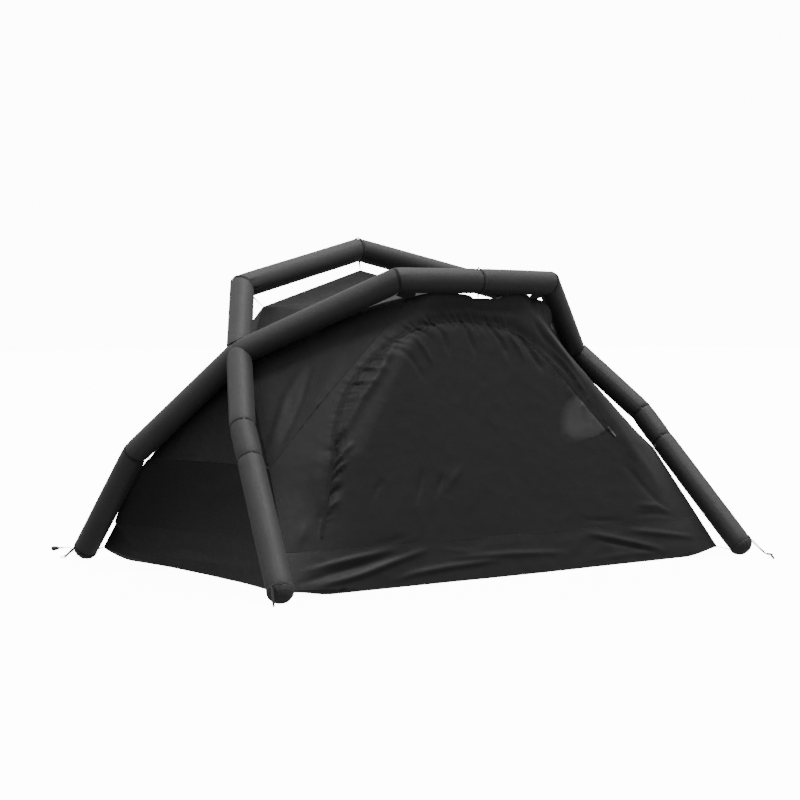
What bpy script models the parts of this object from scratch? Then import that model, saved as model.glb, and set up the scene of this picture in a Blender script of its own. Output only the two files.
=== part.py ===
"""Two-person tent carried by a frame of inflated fabric beams.

Two air beams cross on each side of the tent. The front arch runs from one back foot over the
front of the roof to the other back foot in one line. The back arch and the two front legs butt
against it at the crossings. A cloth cabin hangs inside the beams on short webbing ties, with a
zipped door in its front wall. Left and right mean the side seen by someone facing the door.

Units are metres, +Z is up, the door faces -Y, and the origin is on the ground at the middle.
"""
import math

import bmesh
import bpy
import numpy as np
from mathutils import Matrix, Vector

# Clearances
FIT_GAP = 0.0003
SEAM_GAP = 0.0005
CLOTH_SEAM_GAP = 0.0009

# Air beams: places of their corners on the right-hand side, mirrored to the left
BEAM_RADIUS = 0.050
FOOT_REACH_X = 1.148
FRONT_FOOT_REACH_Y = 0.742
BACK_FOOT_REACH_Y = 0.765
CROSSING = (0.866, 0.0, 0.860)
FRONT_CORNER = (0.386, -0.381, 1.142)
FRONT_MIDDLE = (0.0, -0.405, 1.144)
BACK_CORNER = (0.691, 0.264, 1.126)
BACK_APEX = (0.0, 0.435, 1.297)
FRONT_LEG_HIGH_SEAM = (1.016, -0.273, 0.593)
FRONT_LEG_LOW_SEAM = (1.043, -0.371, 0.476)
BACK_LEG_BEND = (1.147, 0.332, 0.462)

# Air beams: make-up
BEAM_SIDES = 18
SEAM_PINCH = 0.0025
PINCH_REACH = 0.045
SLEEVE_CLOTH = 0.0012
BLADDER_SKIN = 0.0010
BLADDER_EASE = 0.0006
BLADDER_SIDES = 9
CONNECTOR_RADIUS = 0.006
CONNECTOR_BORE = 0.004
CONNECTOR_LENGTH = 0.024

# Gathered foot caps, as depth below the seam and share of the beam's radius there
CAP_PROFILE = ((0.0, 0.95), (0.010, 0.97), (0.022, 0.84), (0.034, 0.62), (0.041, 0.42))
CAP_FLAT = 0.0005
PEG_LOOP_WIDTH = 0.012
PEG_LOOP_LIFT = 0.0048
PEG_LOOP_REACH = (1.222, 0.818)

# Ties: the way from a beam's corner to the cabin's corner, and the length of tie between them
TIE_WIDTH = 0.010
TIE_THICKNESS = 0.0015
TIE_END_WIDTH = 0.003
CROSSING_TIE = ((-0.6455, 0.2895, -0.7067), 0.011)
ROOF_FRONT_TIE = ((-0.785, 0.100, -0.611), 0.060)
ROOF_BACK_TIE = ((-0.681, -0.244, -0.690), 0.069)
RIDGE_FRONT_TIE = ((0.0, 0.05, -1.0), 0.020)
RIDGE_BACK_TIE = ((0.0, -0.17, -0.985), 0.040)
FRONT_LEG_TIE = ((-0.844, -0.298, -0.447), 0.031)
BACK_LEG_TIE = ((-0.894, -0.317, -0.317), 0.013)
FRONT_FOOT_TIE = ((-0.823, 0.562, -0.12), 0.048)
BACK_FOOT_TIE = ((-0.950, -0.300, -0.02), 0.022)
STRAP_WIDTH = 0.012
STRAP_THICKNESS = 0.0012
STRAP_TAB = 0.007
STRAP_TAB_WIDTH = 0.0048
STRAP_TAIL_WIDTH = 0.0096
STRAP_ROOT = 0.004
TIE_CLEARANCE = 0.0006

# Cabin cloth
CLOTH = 0.0015
TUB_HEIGHT = 0.155
EDGE_REST_HEIGHT = 0.003
WIDE_STEPS = 12
DEEP_STEPS = 8
RISE_STEPS = 4
FRONT_WALL_LEAN = 0.278
FRONT_FLAT_SHARE = 0.68
BACK_FLAT_SHARE = 0.5
WALL_TURN = 1.6
WALL_EDGE_BOW = (0.010, -0.004, 0.010)
ROOF_EDGE_BOW = (0.014, -0.004, 0.016)
FRONT_EDGE_BOW = 0.012
BACK_EDGE_DRAW = 0.035
SIDE_EDGE_DRAW = 0.070
SIDE_SEAM_DRAW = 0.060
ROOF_SAG = 0.030
SIDE_HOLLOW = 0.020
SHOULDER_HOLLOW = 0.012
FLOOR_LIFT_REACH = 0.22

# Door: zip path across the front wall, as x and z from its low end round to its high end
ZIP_PATH = (
    (-0.893, 0.190), (-0.835, 0.325), (-0.790, 0.450), (-0.752, 0.552), (-0.690, 0.665), (-0.622, 0.752),
    (-0.535, 0.835), (-0.440, 0.908), (-0.310, 0.966), (-0.150, 0.993), (0.020, 0.982), (0.150, 0.950),
    (0.240, 0.900), (0.345, 0.798), (0.459, 0.6635), (0.573, 0.529),
)
ZIP_STEPS = 2
ZIP_TAPE = 0.006
ZIP_HEIGHT = 0.0022
DOOR_GAP = 0.0008
LOW_END_EASE = 0.0036
LOW_END_RISE = 0.30
DOOR_TIP_CUT = 0.014
ZIP_LOW_END = 0.05
ZIP_HIGH_END = 0.004
DOOR_TAPE_HIGH_END = 0.012
SLIDER_LENGTH = 0.018
SLIDER_WIDTH = 0.010
SLIDER_OFFSET = 0.0010
SLIDER_HEIGHT = 0.005
PULL_LENGTH = 0.034
PULL_WIDTH = 0.008
PULL_THICKNESS = 0.002
PULL_PIN_RADIUS = 0.0012

# Valves
VALVE_FLANGE_RADIUS = 0.020
VALVE_FLANGE_THICKNESS = 0.003
VALVE_STEM_RADIUS = 0.0125
VALVE_STEM_DEPTH = 0.006
VALVE_NECK_RADIUS = 0.0115
VALVE_NECK_HEIGHT = 0.009
VALVE_BORE = 0.008
CAP_WALL = 0.002
CAP_EASE = 0.0004
ROUND_SIDES = 20
LEG_VALVE_SHARE = 0.42
RIDGE_VALVE_SHARE = 0.45

# Free cords: radius, and hand-set routes on the ground
FRONT_CORD_RADIUS = 0.0045
FRONT_CORD_ROUTE = (
    (1.2230, -0.8191, 0.0050), (1.2275, -0.8250, 0.0047), (1.2298, -0.8340, 0.0046), (1.2285, -0.8430, 0.0046),
    (1.2220, -0.8530, 0.0046), (1.2110, -0.8620, 0.0046), (1.1985, -0.8720, 0.0046), (1.1870, -0.8840, 0.0046),
    (1.1760, -0.8970, 0.0046), (1.1650, -0.9110, 0.0046), (1.1520, -0.9240, 0.0046), (1.1400, -0.9370, 0.0046),
)
BACK_CORD_RADIUS = 0.0015
BACK_CORD_ROUTE = (
    (-1.2228, 0.8190, 0.0044), (-1.2262, 0.8225, 0.0030), (-1.2280, 0.8350, 0.0016), (-1.2200, 0.8560, 0.0016),
    (-1.1960, 0.8850, 0.0016), (-1.1650, 0.9180, 0.0016), (-1.1370, 0.9500, 0.0016), (-1.1120, 0.9850, 0.0016),
    (-1.0900, 1.0200, 0.0016), (-1.0730, 1.0500, 0.0020), (-1.0690, 1.0700, 0.0050), (-1.0760, 1.0830, 0.0088),
    (-1.0860, 1.0850, 0.0099), (-1.0960, 1.0852, 0.0100),
)
CORD_STEP = 0.0065
TOGGLE_PROFILE = ((0.0, 0.0022), (0.020, 0.0036), (0.030, 0.0075), (0.040, 0.0100), (0.050, 0.0100), (0.056, 0.0070))


def right(point):
    """A place on the right-hand side."""
    return Vector(point)


def flip(point):
    """The same place on the other side of the tent."""
    return Vector((-point[0], point[1], point[2]))


def lerp(start, end, share):
    return start + (end - start) * share


def make_material(name, colour, roughness, metallic=0.0):
    material = bpy.data.materials.new(name)
    material.use_nodes = True
    shader = material.node_tree.nodes["Principled BSDF"]
    shader.inputs["Base Color"].default_value = (*colour, 1.0)
    shader.inputs["Roughness"].default_value = roughness
    shader.inputs["Metallic"].default_value = metallic
    return material


def clear_scene():
    for old in list(bpy.data.objects):
        bpy.data.objects.remove(old, do_unlink=True)


def add_mesh(name, bm, material, smooth_angle=35.0):
    """Turn a bmesh into a named object with one material and outward faces."""
    bmesh.ops.remove_doubles(bm, verts=bm.verts, dist=1e-6)
    bmesh.ops.recalc_face_normals(bm, faces=bm.faces)
    mesh = bpy.data.meshes.new(name)
    bm.to_mesh(mesh)
    bm.free()
    mesh.shade_smooth()
    mesh.set_sharp_from_angle(angle=math.radians(smooth_angle))
    if material is not None:
        mesh.materials.append(material)
    item = bpy.data.objects.new(name, mesh)
    bpy.context.scene.collection.objects.link(item)
    return item


def add_cutter(name, bm):
    item = add_mesh(name, bm, None)
    item.hide_render = True
    item.display_type = "WIRE"
    return item


def add_boolean(item, cutter, operation):
    modifier = item.modifiers.new(cutter.name, "BOOLEAN")
    modifier.operation = operation
    modifier.solver = "EXACT"
    modifier.object = cutter


# Air beams

class BeamPath:
    """The corners of half a beam, from its foot to the middle, with a steady cross-section frame."""

    def __init__(self, corners, unpinched, open_end):
        self.corners = [flip(corner) for corner in corners]
        self.unpinched = unpinched
        self.open_end = open_end
        self.frames = []
        side = None
        last = None
        for start, end in zip(self.corners, self.corners[1:]):
            direction = (end - start).normalized()
            if side is None:
                side = direction.cross(Vector((1.0, 0.0, 0.0))).normalized()
            else:
                side = last.rotation_difference(direction) @ side
            last = direction
            self.frames.append((direction, side, direction.cross(side)))

    def plane(self, index):
        """Normal of the mitre plane at a corner. The middle one is the mirror plane."""
        if index == 0:
            return self.frames[0][0]
        if index == len(self.corners) - 1:
            return self.frames[-1][0] if self.open_end else Vector((1.0, 0.0, 0.0))
        return (self.frames[index - 1][0] + self.frames[index][0]).normalized()

    def radius(self, index, grow):
        pinch = 0.0 if index in self.unpinched else SEAM_PINCH
        return BEAM_RADIUS - pinch + grow

    def ring(self, index, distance, radius, normal=None, sides=BEAM_SIDES):
        """Points round the beam on segment index, distance past the segment's first corner."""
        direction, side, top = self.frames[index]
        centre = self.corners[index] + direction * distance
        points = []
        for step in range(sides):
            angle = 2.0 * math.pi * step / sides
            offset = (side * math.cos(angle) + top * math.sin(angle)) * radius
            if normal is not None:
                offset = offset - direction * (offset.dot(normal) / direction.dot(normal))
            points.append(centre + offset)
        return points

    def length(self, index):
        return (self.corners[index + 1] - self.corners[index]).length

    def sleeve_rings(self, first, last, grow, end_gap):
        """Rings of a sleeve from corner first to corner last, drawn in at its seams."""
        rings = []
        for index in range(first, last):
            direction = self.frames[index][0]
            length = self.length(index)
            start_normal = self.plane(index)
            end_normal = self.plane(index + 1)
            start_gap = end_gap / direction.dot(start_normal) if index == first else 0.0
            stop_gap = end_gap / direction.dot(end_normal) if index + 1 == last else 0.0
            if index == first:
                rings.append(self.ring(index, start_gap, self.radius(index, grow), start_normal))
            full = BEAM_RADIUS + grow
            if index not in self.unpinched:
                rings.append(self.ring(index, min(PINCH_REACH, length * 0.33), full))
            if index + 1 not in self.unpinched:
                rings.append(self.ring(index, length - min(PINCH_REACH, length * 0.33), full))
            rings.append(self.ring(index, length - stop_gap, self.radius(index + 1, grow), end_normal))
        return rings

    def core_rings(self, first, last, radius, end_inset):
        """Rings of a plain core inside the beam, one at each corner."""
        rings = []
        for index in range(first, last + 1):
            segment = min(index, last - 1)
            distance = 0.0 if index < last else self.length(segment)
            if index == first:
                distance += end_inset
            if index == last and last < len(self.corners) - 1 + int(self.open_end):
                distance -= end_inset
            rings.append(self.ring(segment, distance, radius, self.plane(index), BLADDER_SIDES))
        return rings


def skin_rings(bm, rings, close=True):
    """Join rings of points into a tube, closed at both ends if asked."""
    loops = [[bm.verts.new(point) for point in ring] for ring in rings]
    for before, after in zip(loops, loops[1:]):
        for step in range(len(before)):
            after_step = (step + 1) % len(before)
            bm.faces.new((before[step], before[after_step], after[after_step], after[step]))
    if close:
        bm.faces.new(list(reversed(loops[0])))
        bm.faces.new(loops[-1])
    return loops


def hollow_tube(outer_rings, inner_rings):
    """An open-ended tube with a wall, from matching outer and inner rings."""
    bm = bmesh.new()
    outer = skin_rings(bm, outer_rings, close=False)
    inner = skin_rings(bm, inner_rings, close=False)
    for outer_loop, inner_loop in ((outer[0], inner[0]), (outer[-1], inner[-1])):
        for step in range(len(outer_loop)):
            after = (step + 1) % len(outer_loop)
            bm.faces.new((outer_loop[step], outer_loop[after], inner_loop[after], inner_loop[step]))
    return bm


def solid_tube(rings):
    bm = bmesh.new()
    skin_rings(bm, rings)
    return bm


def flipped_rings(rings):
    return [[flip(point) for point in ring] for ring in rings]


def across_middle(rings):
    """Rings of a whole beam from those of its left half, which end on the mirror plane."""
    return rings + list(reversed(flipped_rings(rings[:-1])))


def cap_rings(path, grow):
    """Rings of a foot cap below the end of a beam path."""
    return [path.ring(0, -depth - (grow if number else 0.0), BEAM_RADIUS * share + grow)
            for number, (depth, share) in enumerate(CAP_PROFILE)]


def foot_corner(reach_y, knee):
    """Place a foot so that its cap, cut flat a little, stands on the ground."""
    foot = Vector((FOOT_REACH_X, reach_y, BEAM_RADIUS))
    for _ in range(6):
        down = (foot - knee).normalized()
        flat = math.sqrt(1.0 - down.z ** 2)
        drop = max(-down.z * depth + BEAM_RADIUS * share * flat for depth, share in CAP_PROFILE)
        foot.z = drop - CAP_FLAT
    return foot


def beam_paths():
    back_foot = foot_corner(BACK_FOOT_REACH_Y, right(BACK_LEG_BEND))
    front_foot = foot_corner(-FRONT_FOOT_REACH_Y, right(FRONT_LEG_LOW_SEAM))
    front_arch = BeamPath(
        (back_foot, BACK_LEG_BEND, CROSSING, FRONT_CORNER, FRONT_MIDDLE), unpinched=(2,), open_end=False)
    back_arch = BeamPath(
        (front_foot, FRONT_LEG_LOW_SEAM, FRONT_LEG_HIGH_SEAM, CROSSING, BACK_CORNER, BACK_APEX),
        unpinched=(3,), open_end=False)
    return front_arch, back_arch


def build_saddle_cutters(front_arch, grow, label):
    """A solid a little thicker than the front arch, on each side, that its neighbours are cut by."""
    rings = front_arch.sleeve_rings(0, 4, grow, 0.0)
    return {
        "left": add_cutter(f"{label}_left", solid_tube(rings)),
        "right": add_cutter(f"{label}_right", solid_tube(flipped_rings(rings))),
    }


def build_port_cutters(front_arch, back_arch, radius, label):
    """A straight pin through each crossing, along the back arch."""
    cutters = {}
    for side, mirror in (("left", False), ("right", True)):
        centre, axis = connector_line(back_arch)
        bm = bmesh.new()
        half = BEAM_RADIUS + CONNECTOR_LENGTH
        turn = axis.to_track_quat("Z", "Y").to_matrix().to_4x4()
        bmesh.ops.create_cone(
            bm, cap_ends=True, segments=12, radius1=radius, radius2=radius, depth=2.0 * half,
            matrix=Matrix.Translation(centre) @ turn)
        if mirror:
            bmesh.ops.transform(bm, matrix=Matrix.Scale(-1.0, 4, (1.0, 0.0, 0.0)), verts=bm.verts)
        cutters[side] = add_cutter(f"{label}_{side}", bm)
    return cutters


def connector_line(back_arch):
    down = back_arch.frames[2][0]
    up = back_arch.frames[3][0]
    return back_arch.corners[3], (down + up).normalized()


def build_sleeves(front_arch, back_arch, saddles, ports, cloth):
    plans = (
        ("back_leg_sleeve", front_arch, 0, 1, False, False),
        ("front_arch_haunch", front_arch, 1, 3, False, True),
        ("front_ridge_sleeve", front_arch, 3, 4, False, False),
        ("front_leg_lower_sleeve", back_arch, 0, 1, False, False),
        ("front_leg_upper_sleeve", back_arch, 1, 3, True, False),
        ("back_arch_haunch", back_arch, 3, 4, True, False),
        ("back_ridge_sleeve", back_arch, 4, 5, False, False),
    )
    for label, path, first, last, saddled, ported in plans:
        outer = path.sleeve_rings(first, last, 0.0, SEAM_GAP / 2.0)
        inner = path.sleeve_rings(first, last, -SLEEVE_CLOTH, SEAM_GAP / 2.0)
        for side in ("left", "right"):
            if side == "left":
                bm = hollow_tube(outer, inner)
            else:
                bm = hollow_tube(flipped_rings(outer), flipped_rings(inner))
            sleeve = add_mesh(f"{label}_{side}", bm, cloth)
            if saddled:
                add_boolean(sleeve, saddles[side], "DIFFERENCE")
            if ported:
                add_boolean(sleeve, ports[side], "DIFFERENCE")


def build_foot_caps(front_arch, back_arch, cloth):
    for label, path in (("back", front_arch), ("front", back_arch)):
        outer = cap_rings(path, 0.0)
        inner = cap_rings(path, -SLEEVE_CLOTH)
        shift = path.frames[0][0] * (-SEAM_GAP / 2.0)
        outer = [[point + shift for point in ring] for ring in outer]
        inner = [[point + shift for point in ring] for ring in inner]
        for side in ("left", "right"):
            bm = bmesh.new()
            shells = (outer, inner) if side == "left" else (flipped_rings(outer), flipped_rings(inner))
            rims = []
            for rings in shells:
                loops = skin_rings(bm, rings, close=False)
                bm.faces.new(loops[-1])
                rims.append(loops[0])
            for step in range(BEAM_SIDES):
                after = (step + 1) % BEAM_SIDES
                bm.faces.new((rims[0][step], rims[0][after], rims[1][after], rims[1][step]))
            bmesh.ops.recalc_face_normals(bm, faces=bm.faces)
            cut_flat(bm)
            add_mesh(f"foot_cap_{label}_{side}", bm, cloth)


def cut_flat(bm):
    """Cut a closed shape flat where it meets the ground."""
    geometry = bm.verts[:] + bm.edges[:] + bm.faces[:]
    result = bmesh.ops.bisect_plane(
        bm, geom=geometry, dist=1e-7, plane_co=(0.0, 0.0, 0.0), plane_no=(0.0, 0.0, -1.0), clear_outer=True)
    edges = [item for item in result["geom_cut"] if isinstance(item, bmesh.types.BMEdge)]
    if edges:
        bmesh.ops.holes_fill(bm, edges=edges)


def bladder_radius():
    """Outer radius that fits the sleeve at its tightest, its seams."""
    return (BEAM_RADIUS - SEAM_PINCH - SLEEVE_CLOTH) * math.cos(math.pi / BEAM_SIDES) - BLADDER_EASE


def build_bladders(front_arch, back_arch, saddles, inner_saddles, ports, skin):
    outside = bladder_radius()
    inside = outside - BLADDER_SKIN
    inset = 0.002

    def core(path, first, last, radius, end_inset, whole):
        rings = path.core_rings(first, last, radius, end_inset)
        return across_middle(rings) if whole else rings

    plans = [
        ("front_arch_bladder", front_arch, 0, 4, True, ()),
        ("back_arch_bladder", back_arch, 3, 5, True, ("left", "right")),
        ("front_leg_bladder_left", back_arch, 0, 3, False, ("left",)),
        ("front_leg_bladder_right", back_arch, 0, 3, False, ("right",)),
    ]
    items = {}
    for name, path, first, last, whole, cut_sides in plans:
        foot_inset = inset if first == 0 else 0.0
        outer = core(path, first, last, outside, foot_inset, whole)
        inner = core(path, first, last, inside, foot_inset + (BLADDER_SKIN if first == 0 else 0.0), whole)
        if name.endswith("_right"):
            outer = flipped_rings(outer)
            inner = flipped_rings(inner)
        bladder = add_mesh(name, solid_tube(outer), skin)
        air = add_cutter(f"{name}_air", solid_tube(inner))
        for side in cut_sides:
            add_boolean(bladder, saddles[side], "DIFFERENCE")
            add_boolean(air, inner_saddles[side], "DIFFERENCE")
        add_boolean(bladder, air, "DIFFERENCE")
        for side in cut_sides or ("left", "right"):
            add_boolean(bladder, ports[side], "DIFFERENCE")
        items[name] = bladder
    return items


def lathe(profile, sides=ROUND_SIDES):
    """Turn a closed outline of radius and height about Z. Radii above zero leave a bore."""
    bm = bmesh.new()
    loops = []
    for radius, height in profile:
        loop = []
        for step in range(sides):
            angle = 2.0 * math.pi * step / sides
            loop.append(bm.verts.new((radius * math.cos(angle), radius * math.sin(angle), height)))
        loops.append(loop)
    for number, before in enumerate(loops):
        after = loops[(number + 1) % len(loops)]
        for step in range(sides):
            next_step = (step + 1) % sides
            bm.faces.new((before[step], before[next_step], after[next_step], after[step]))
    return bm


def join_into(target, source, matrix):
    """Add a copy of one bmesh, moved by a matrix, to another."""
    copies = {}
    for vertex in source.verts:
        copies[vertex] = target.verts.new(matrix @ vertex.co)
    for face in source.faces:
        target.faces.new([copies[vertex] for vertex in face.verts])


def build_connectors(back_arch, plastic):
    """A short pipe through each crossing that lets air pass between the beams that meet there."""
    half = BEAM_RADIUS + CONNECTOR_LENGTH / 2.0
    outline = ((CONNECTOR_BORE, -half), (CONNECTOR_RADIUS, -half), (CONNECTOR_RADIUS, half), (CONNECTOR_BORE, half))
    centre, axis = connector_line(back_arch)
    turn = axis.to_track_quat("Z", "Y").to_matrix().to_4x4()
    for side, mirror in (("left", 1.0), ("right", -1.0)):
        place = Matrix.Scale(mirror, 4, (1.0, 0.0, 0.0)) @ Matrix.Translation(centre) @ turn
        pipe = lathe(outline, 12)
        bmesh.ops.transform(pipe, matrix=place, verts=pipe.verts)
        item = add_mesh(f"chamber_pipe_{side}", pipe, plastic)
        hole = bmesh.new()
        bmesh.ops.create_cone(
            hole, cap_ends=True, segments=12, radius1=CONNECTOR_BORE * 0.8, radius2=CONNECTOR_BORE * 0.8,
            depth=4.0 * CONNECTOR_RADIUS, matrix=place @ Matrix.Rotation(math.pi / 2.0, 4, "X"))
        add_boolean(item, add_cutter(f"chamber_pipe_hole_{side}", hole), "DIFFERENCE")


# Valves

def valve_places(front_arch, back_arch):
    """Where each valve stands: a point on the beam's axis and the way it faces."""
    leg_axis = flip(front_arch.frames[0][0])
    leg_point = flip(front_arch.corners[0]) + leg_axis * (front_arch.length(0) * (1.0 - LEG_VALVE_SHARE))
    leg_out = Vector((0.0, 1.0, 0.6))
    ridge_axis = flip(back_arch.frames[4][0])
    ridge_point = flip(back_arch.corners[4]) + ridge_axis * (back_arch.length(4) * RIDGE_VALVE_SHARE)
    ridge_out = Vector((0.0, 1.0, 0.45))
    places = []
    for point, axis, out in ((leg_point, leg_axis, leg_out), (ridge_point, ridge_axis, ridge_out)):
        out = (out - axis * out.dot(axis)).normalized()
        places.append((point, axis, out))
    return places


def valve_matrix(place):
    point, axis, out = place
    side = axis.cross(out).normalized()
    turn = Matrix((side, out.cross(side), out)).transposed().to_4x4()
    return Matrix.Translation(point) @ turn


def build_valves(front_arch, back_arch, bladders, plastic):
    """Two valves, each in a hole through the sleeve and the bladder, with a push-on cap."""
    seat = BEAM_RADIUS + FIT_GAP
    floor = bladder_radius() - BLADDER_SKIN - VALVE_STEM_DEPTH
    body_outline = (
        (VALVE_BORE, floor), (VALVE_STEM_RADIUS, floor), (VALVE_STEM_RADIUS, seat),
        (VALVE_FLANGE_RADIUS, seat), (VALVE_FLANGE_RADIUS, seat + VALVE_FLANGE_THICKNESS),
        (VALVE_NECK_RADIUS, seat + VALVE_FLANGE_THICKNESS),
        (VALVE_NECK_RADIUS, seat + VALVE_FLANGE_THICKNESS + VALVE_NECK_HEIGHT),
        (VALVE_BORE, seat + VALVE_FLANGE_THICKNESS + VALVE_NECK_HEIGHT),
    )
    cap_inner = VALVE_NECK_RADIUS + CAP_EASE
    cap_outer = cap_inner + CAP_WALL
    cap_base = seat + VALVE_FLANGE_THICKNESS + FIT_GAP
    cap_roof = seat + VALVE_FLANGE_THICKNESS + VALVE_NECK_HEIGHT + FIT_GAP
    places = valve_places(front_arch, back_arch)
    names = ("leg", "ridge")
    hosts = (
        (bpy.data.objects["back_leg_sleeve_right"], bladders["front_arch_bladder"]),
        (bpy.data.objects["back_ridge_sleeve_right"], bladders["back_arch_bladder"]),
    )
    for place, name, host_items in zip(places, names, hosts):
        matrix = valve_matrix(place)
        body = add_mesh(f"{name}_valve_body", lathe(body_outline), plastic)
        body.matrix_world = matrix
        hole = bmesh.new()
        depth = BEAM_RADIUS * 0.9
        bmesh.ops.create_cone(
            hole, cap_ends=True, segments=ROUND_SIDES, radius1=VALVE_STEM_RADIUS + FIT_GAP,
            radius2=VALVE_STEM_RADIUS + FIT_GAP, depth=depth,
            matrix=matrix @ Matrix.Translation((0.0, 0.0, BEAM_RADIUS * 0.5 + depth / 2.0)))
        cutter = add_cutter(f"{name}_valve_hole", hole)
        for host in host_items:
            add_boolean(host, cutter, "DIFFERENCE")
        cap = bmesh.new()
        rings = []
        for radius, height in (
                (cap_inner, cap_roof), (cap_inner, cap_base), (cap_outer, cap_base),
                (cap_outer, cap_roof + CAP_WALL * 0.6), (cap_outer - CAP_WALL * 0.6, cap_roof + CAP_WALL)):
            ring = []
            for step in range(ROUND_SIDES):
                angle = 2.0 * math.pi * step / ROUND_SIDES
                ring.append(Vector((radius * math.cos(angle), radius * math.sin(angle), height)))
            rings.append(ring)
        skin_rings(cap, rings)
        item = add_mesh(f"{name}_valve_cap", cap, plastic)
        item.matrix_world = matrix


# Cabin corners

def tied_corner(point, tie, radius=None):
    """The cabin corner that hangs on a tie from a point on a beam's axis."""
    way, length = tie
    return Vector(point) + Vector(way).normalized() * (BEAM_RADIUS + length)


def cabin_corners(front_arch, back_arch):
    """Corners of the cabin on the right-hand side."""
    front_foot = flip(back_arch.corners[0])
    back_foot = flip(front_arch.corners[0])
    corners = {
        "crossing": tied_corner(CROSSING, CROSSING_TIE),
        "roof_front": tied_corner(FRONT_CORNER, ROOF_FRONT_TIE),
        "roof_back": tied_corner(BACK_CORNER, ROOF_BACK_TIE),
        "ridge_front": tied_corner(FRONT_MIDDLE, RIDGE_FRONT_TIE),
        "ridge_back": tied_corner(BACK_APEX, RIDGE_BACK_TIE),
        "front_leg": tied_corner(FRONT_LEG_LOW_SEAM, FRONT_LEG_TIE),
        "back_leg": tied_corner(BACK_LEG_BEND, BACK_LEG_TIE),
        "front_foot": tied_corner(front_foot, FRONT_FOOT_TIE),
        "back_foot": tied_corner(back_foot, BACK_FOOT_TIE),
    }
    for foot, leg, name in (("front_foot", "front_leg", "front_tub"), ("back_foot", "back_leg", "back_tub")):
        rise = (TUB_HEIGHT - corners[foot].z) / (corners[leg].z - corners[foot].z)
        corners[name] = lerp(corners[foot], corners[leg], rise)
    return corners


# Cabin cloth surfaces, as grids of points: rows of equal length

def run(start, end, steps, draw=Vector((0.0, 0.0, 0.0))):
    """Points along an edge, drawn aside in a shallow curve."""
    points = []
    for step in range(steps + 1):
        share = step / steps
        points.append(lerp(start, end, share) + draw * (4.0 * share * (1.0 - share)))
    return points


def ground_run(start, end, steps, draw):
    """A bottom edge: curved in plan, lying near the ground between its raised ends."""
    points = run(start, end, steps, draw)
    for step, point in enumerate(points):
        share = abs(2.0 * step / steps - 1.0) ** 3
        point.z = lerp(EDGE_REST_HEIGHT, lerp(start.z, end.z, step / steps), share)
    return points


def wall_plane(height, base_y, lean):
    return base_y + (height - TUB_HEIGHT) * lean


def wall_grid(edge, base_y, top, flat_share, straighten):
    """A front or back wall: flat in the middle and turned back towards its side edges.

    A wall that straightens has a top edge that runs straight from its middle to its corners.
    """
    lean = (top.y - base_y) / (top.z - TUB_HEIGHT)
    rows = []
    for number, corner in enumerate(edge):
        level = number / (len(edge) - 1)
        bend = 1.0 - straighten * level ** 2
        middle_z = lerp(TUB_HEIGHT, top.z, level)
        row = []
        for step in range(WIDE_STEPS + 1):
            across = 2.0 * step / WIDE_STEPS - 1.0
            share = abs(across)
            height = lerp(middle_z, corner.z, share)
            flat = flat_share * bend
            turned = max(0.0, (share - flat) / (1.0 - flat)) ** (1.0 + (WALL_TURN - 1.0) * bend)
            flat_y = wall_plane(height, base_y, lean)
            edge_y = corner.y - wall_plane(corner.z, base_y, lean)
            row.append(Vector((across * corner.x, flat_y + edge_y * turned, height)))
        rows.append(row)
    return rows


def loft(low, high, steps, hollow=Vector((0.0, 0.0, 0.0))):
    """Rows between two edges with as many points, hollowed a little in the middle."""
    rows = []
    last = len(low) - 1
    for number in range(steps + 1):
        share = number / steps
        row = []
        for step, (start, end) in enumerate(zip(low, high)):
            depth = 16.0 * share * (1.0 - share) * (step / last) * (1.0 - step / last)
            row.append(lerp(start, end, share) + hollow * depth)
        rows.append(row)
    return rows


def gusset(base, left_edge, right_edge, hollow):
    """A triangle of cloth: rows that shrink from its base to its tip."""
    rows = []
    steps = len(left_edge) - 1
    last = len(base) - 1
    for number in range(steps + 1):
        share = number / steps
        row = []
        for step in range(last + 1):
            across = step / last
            depth = 16.0 * share * (1.0 - share) * across * (1.0 - across)
            straight = lerp(left_edge[number], right_edge[number], across)
            shape = base[step] - lerp(base[0], base[-1], across)
            row.append(straight + shape * (1.0 - share) ** 2 + hollow * depth)
        rows.append(row)
    return rows


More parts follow.
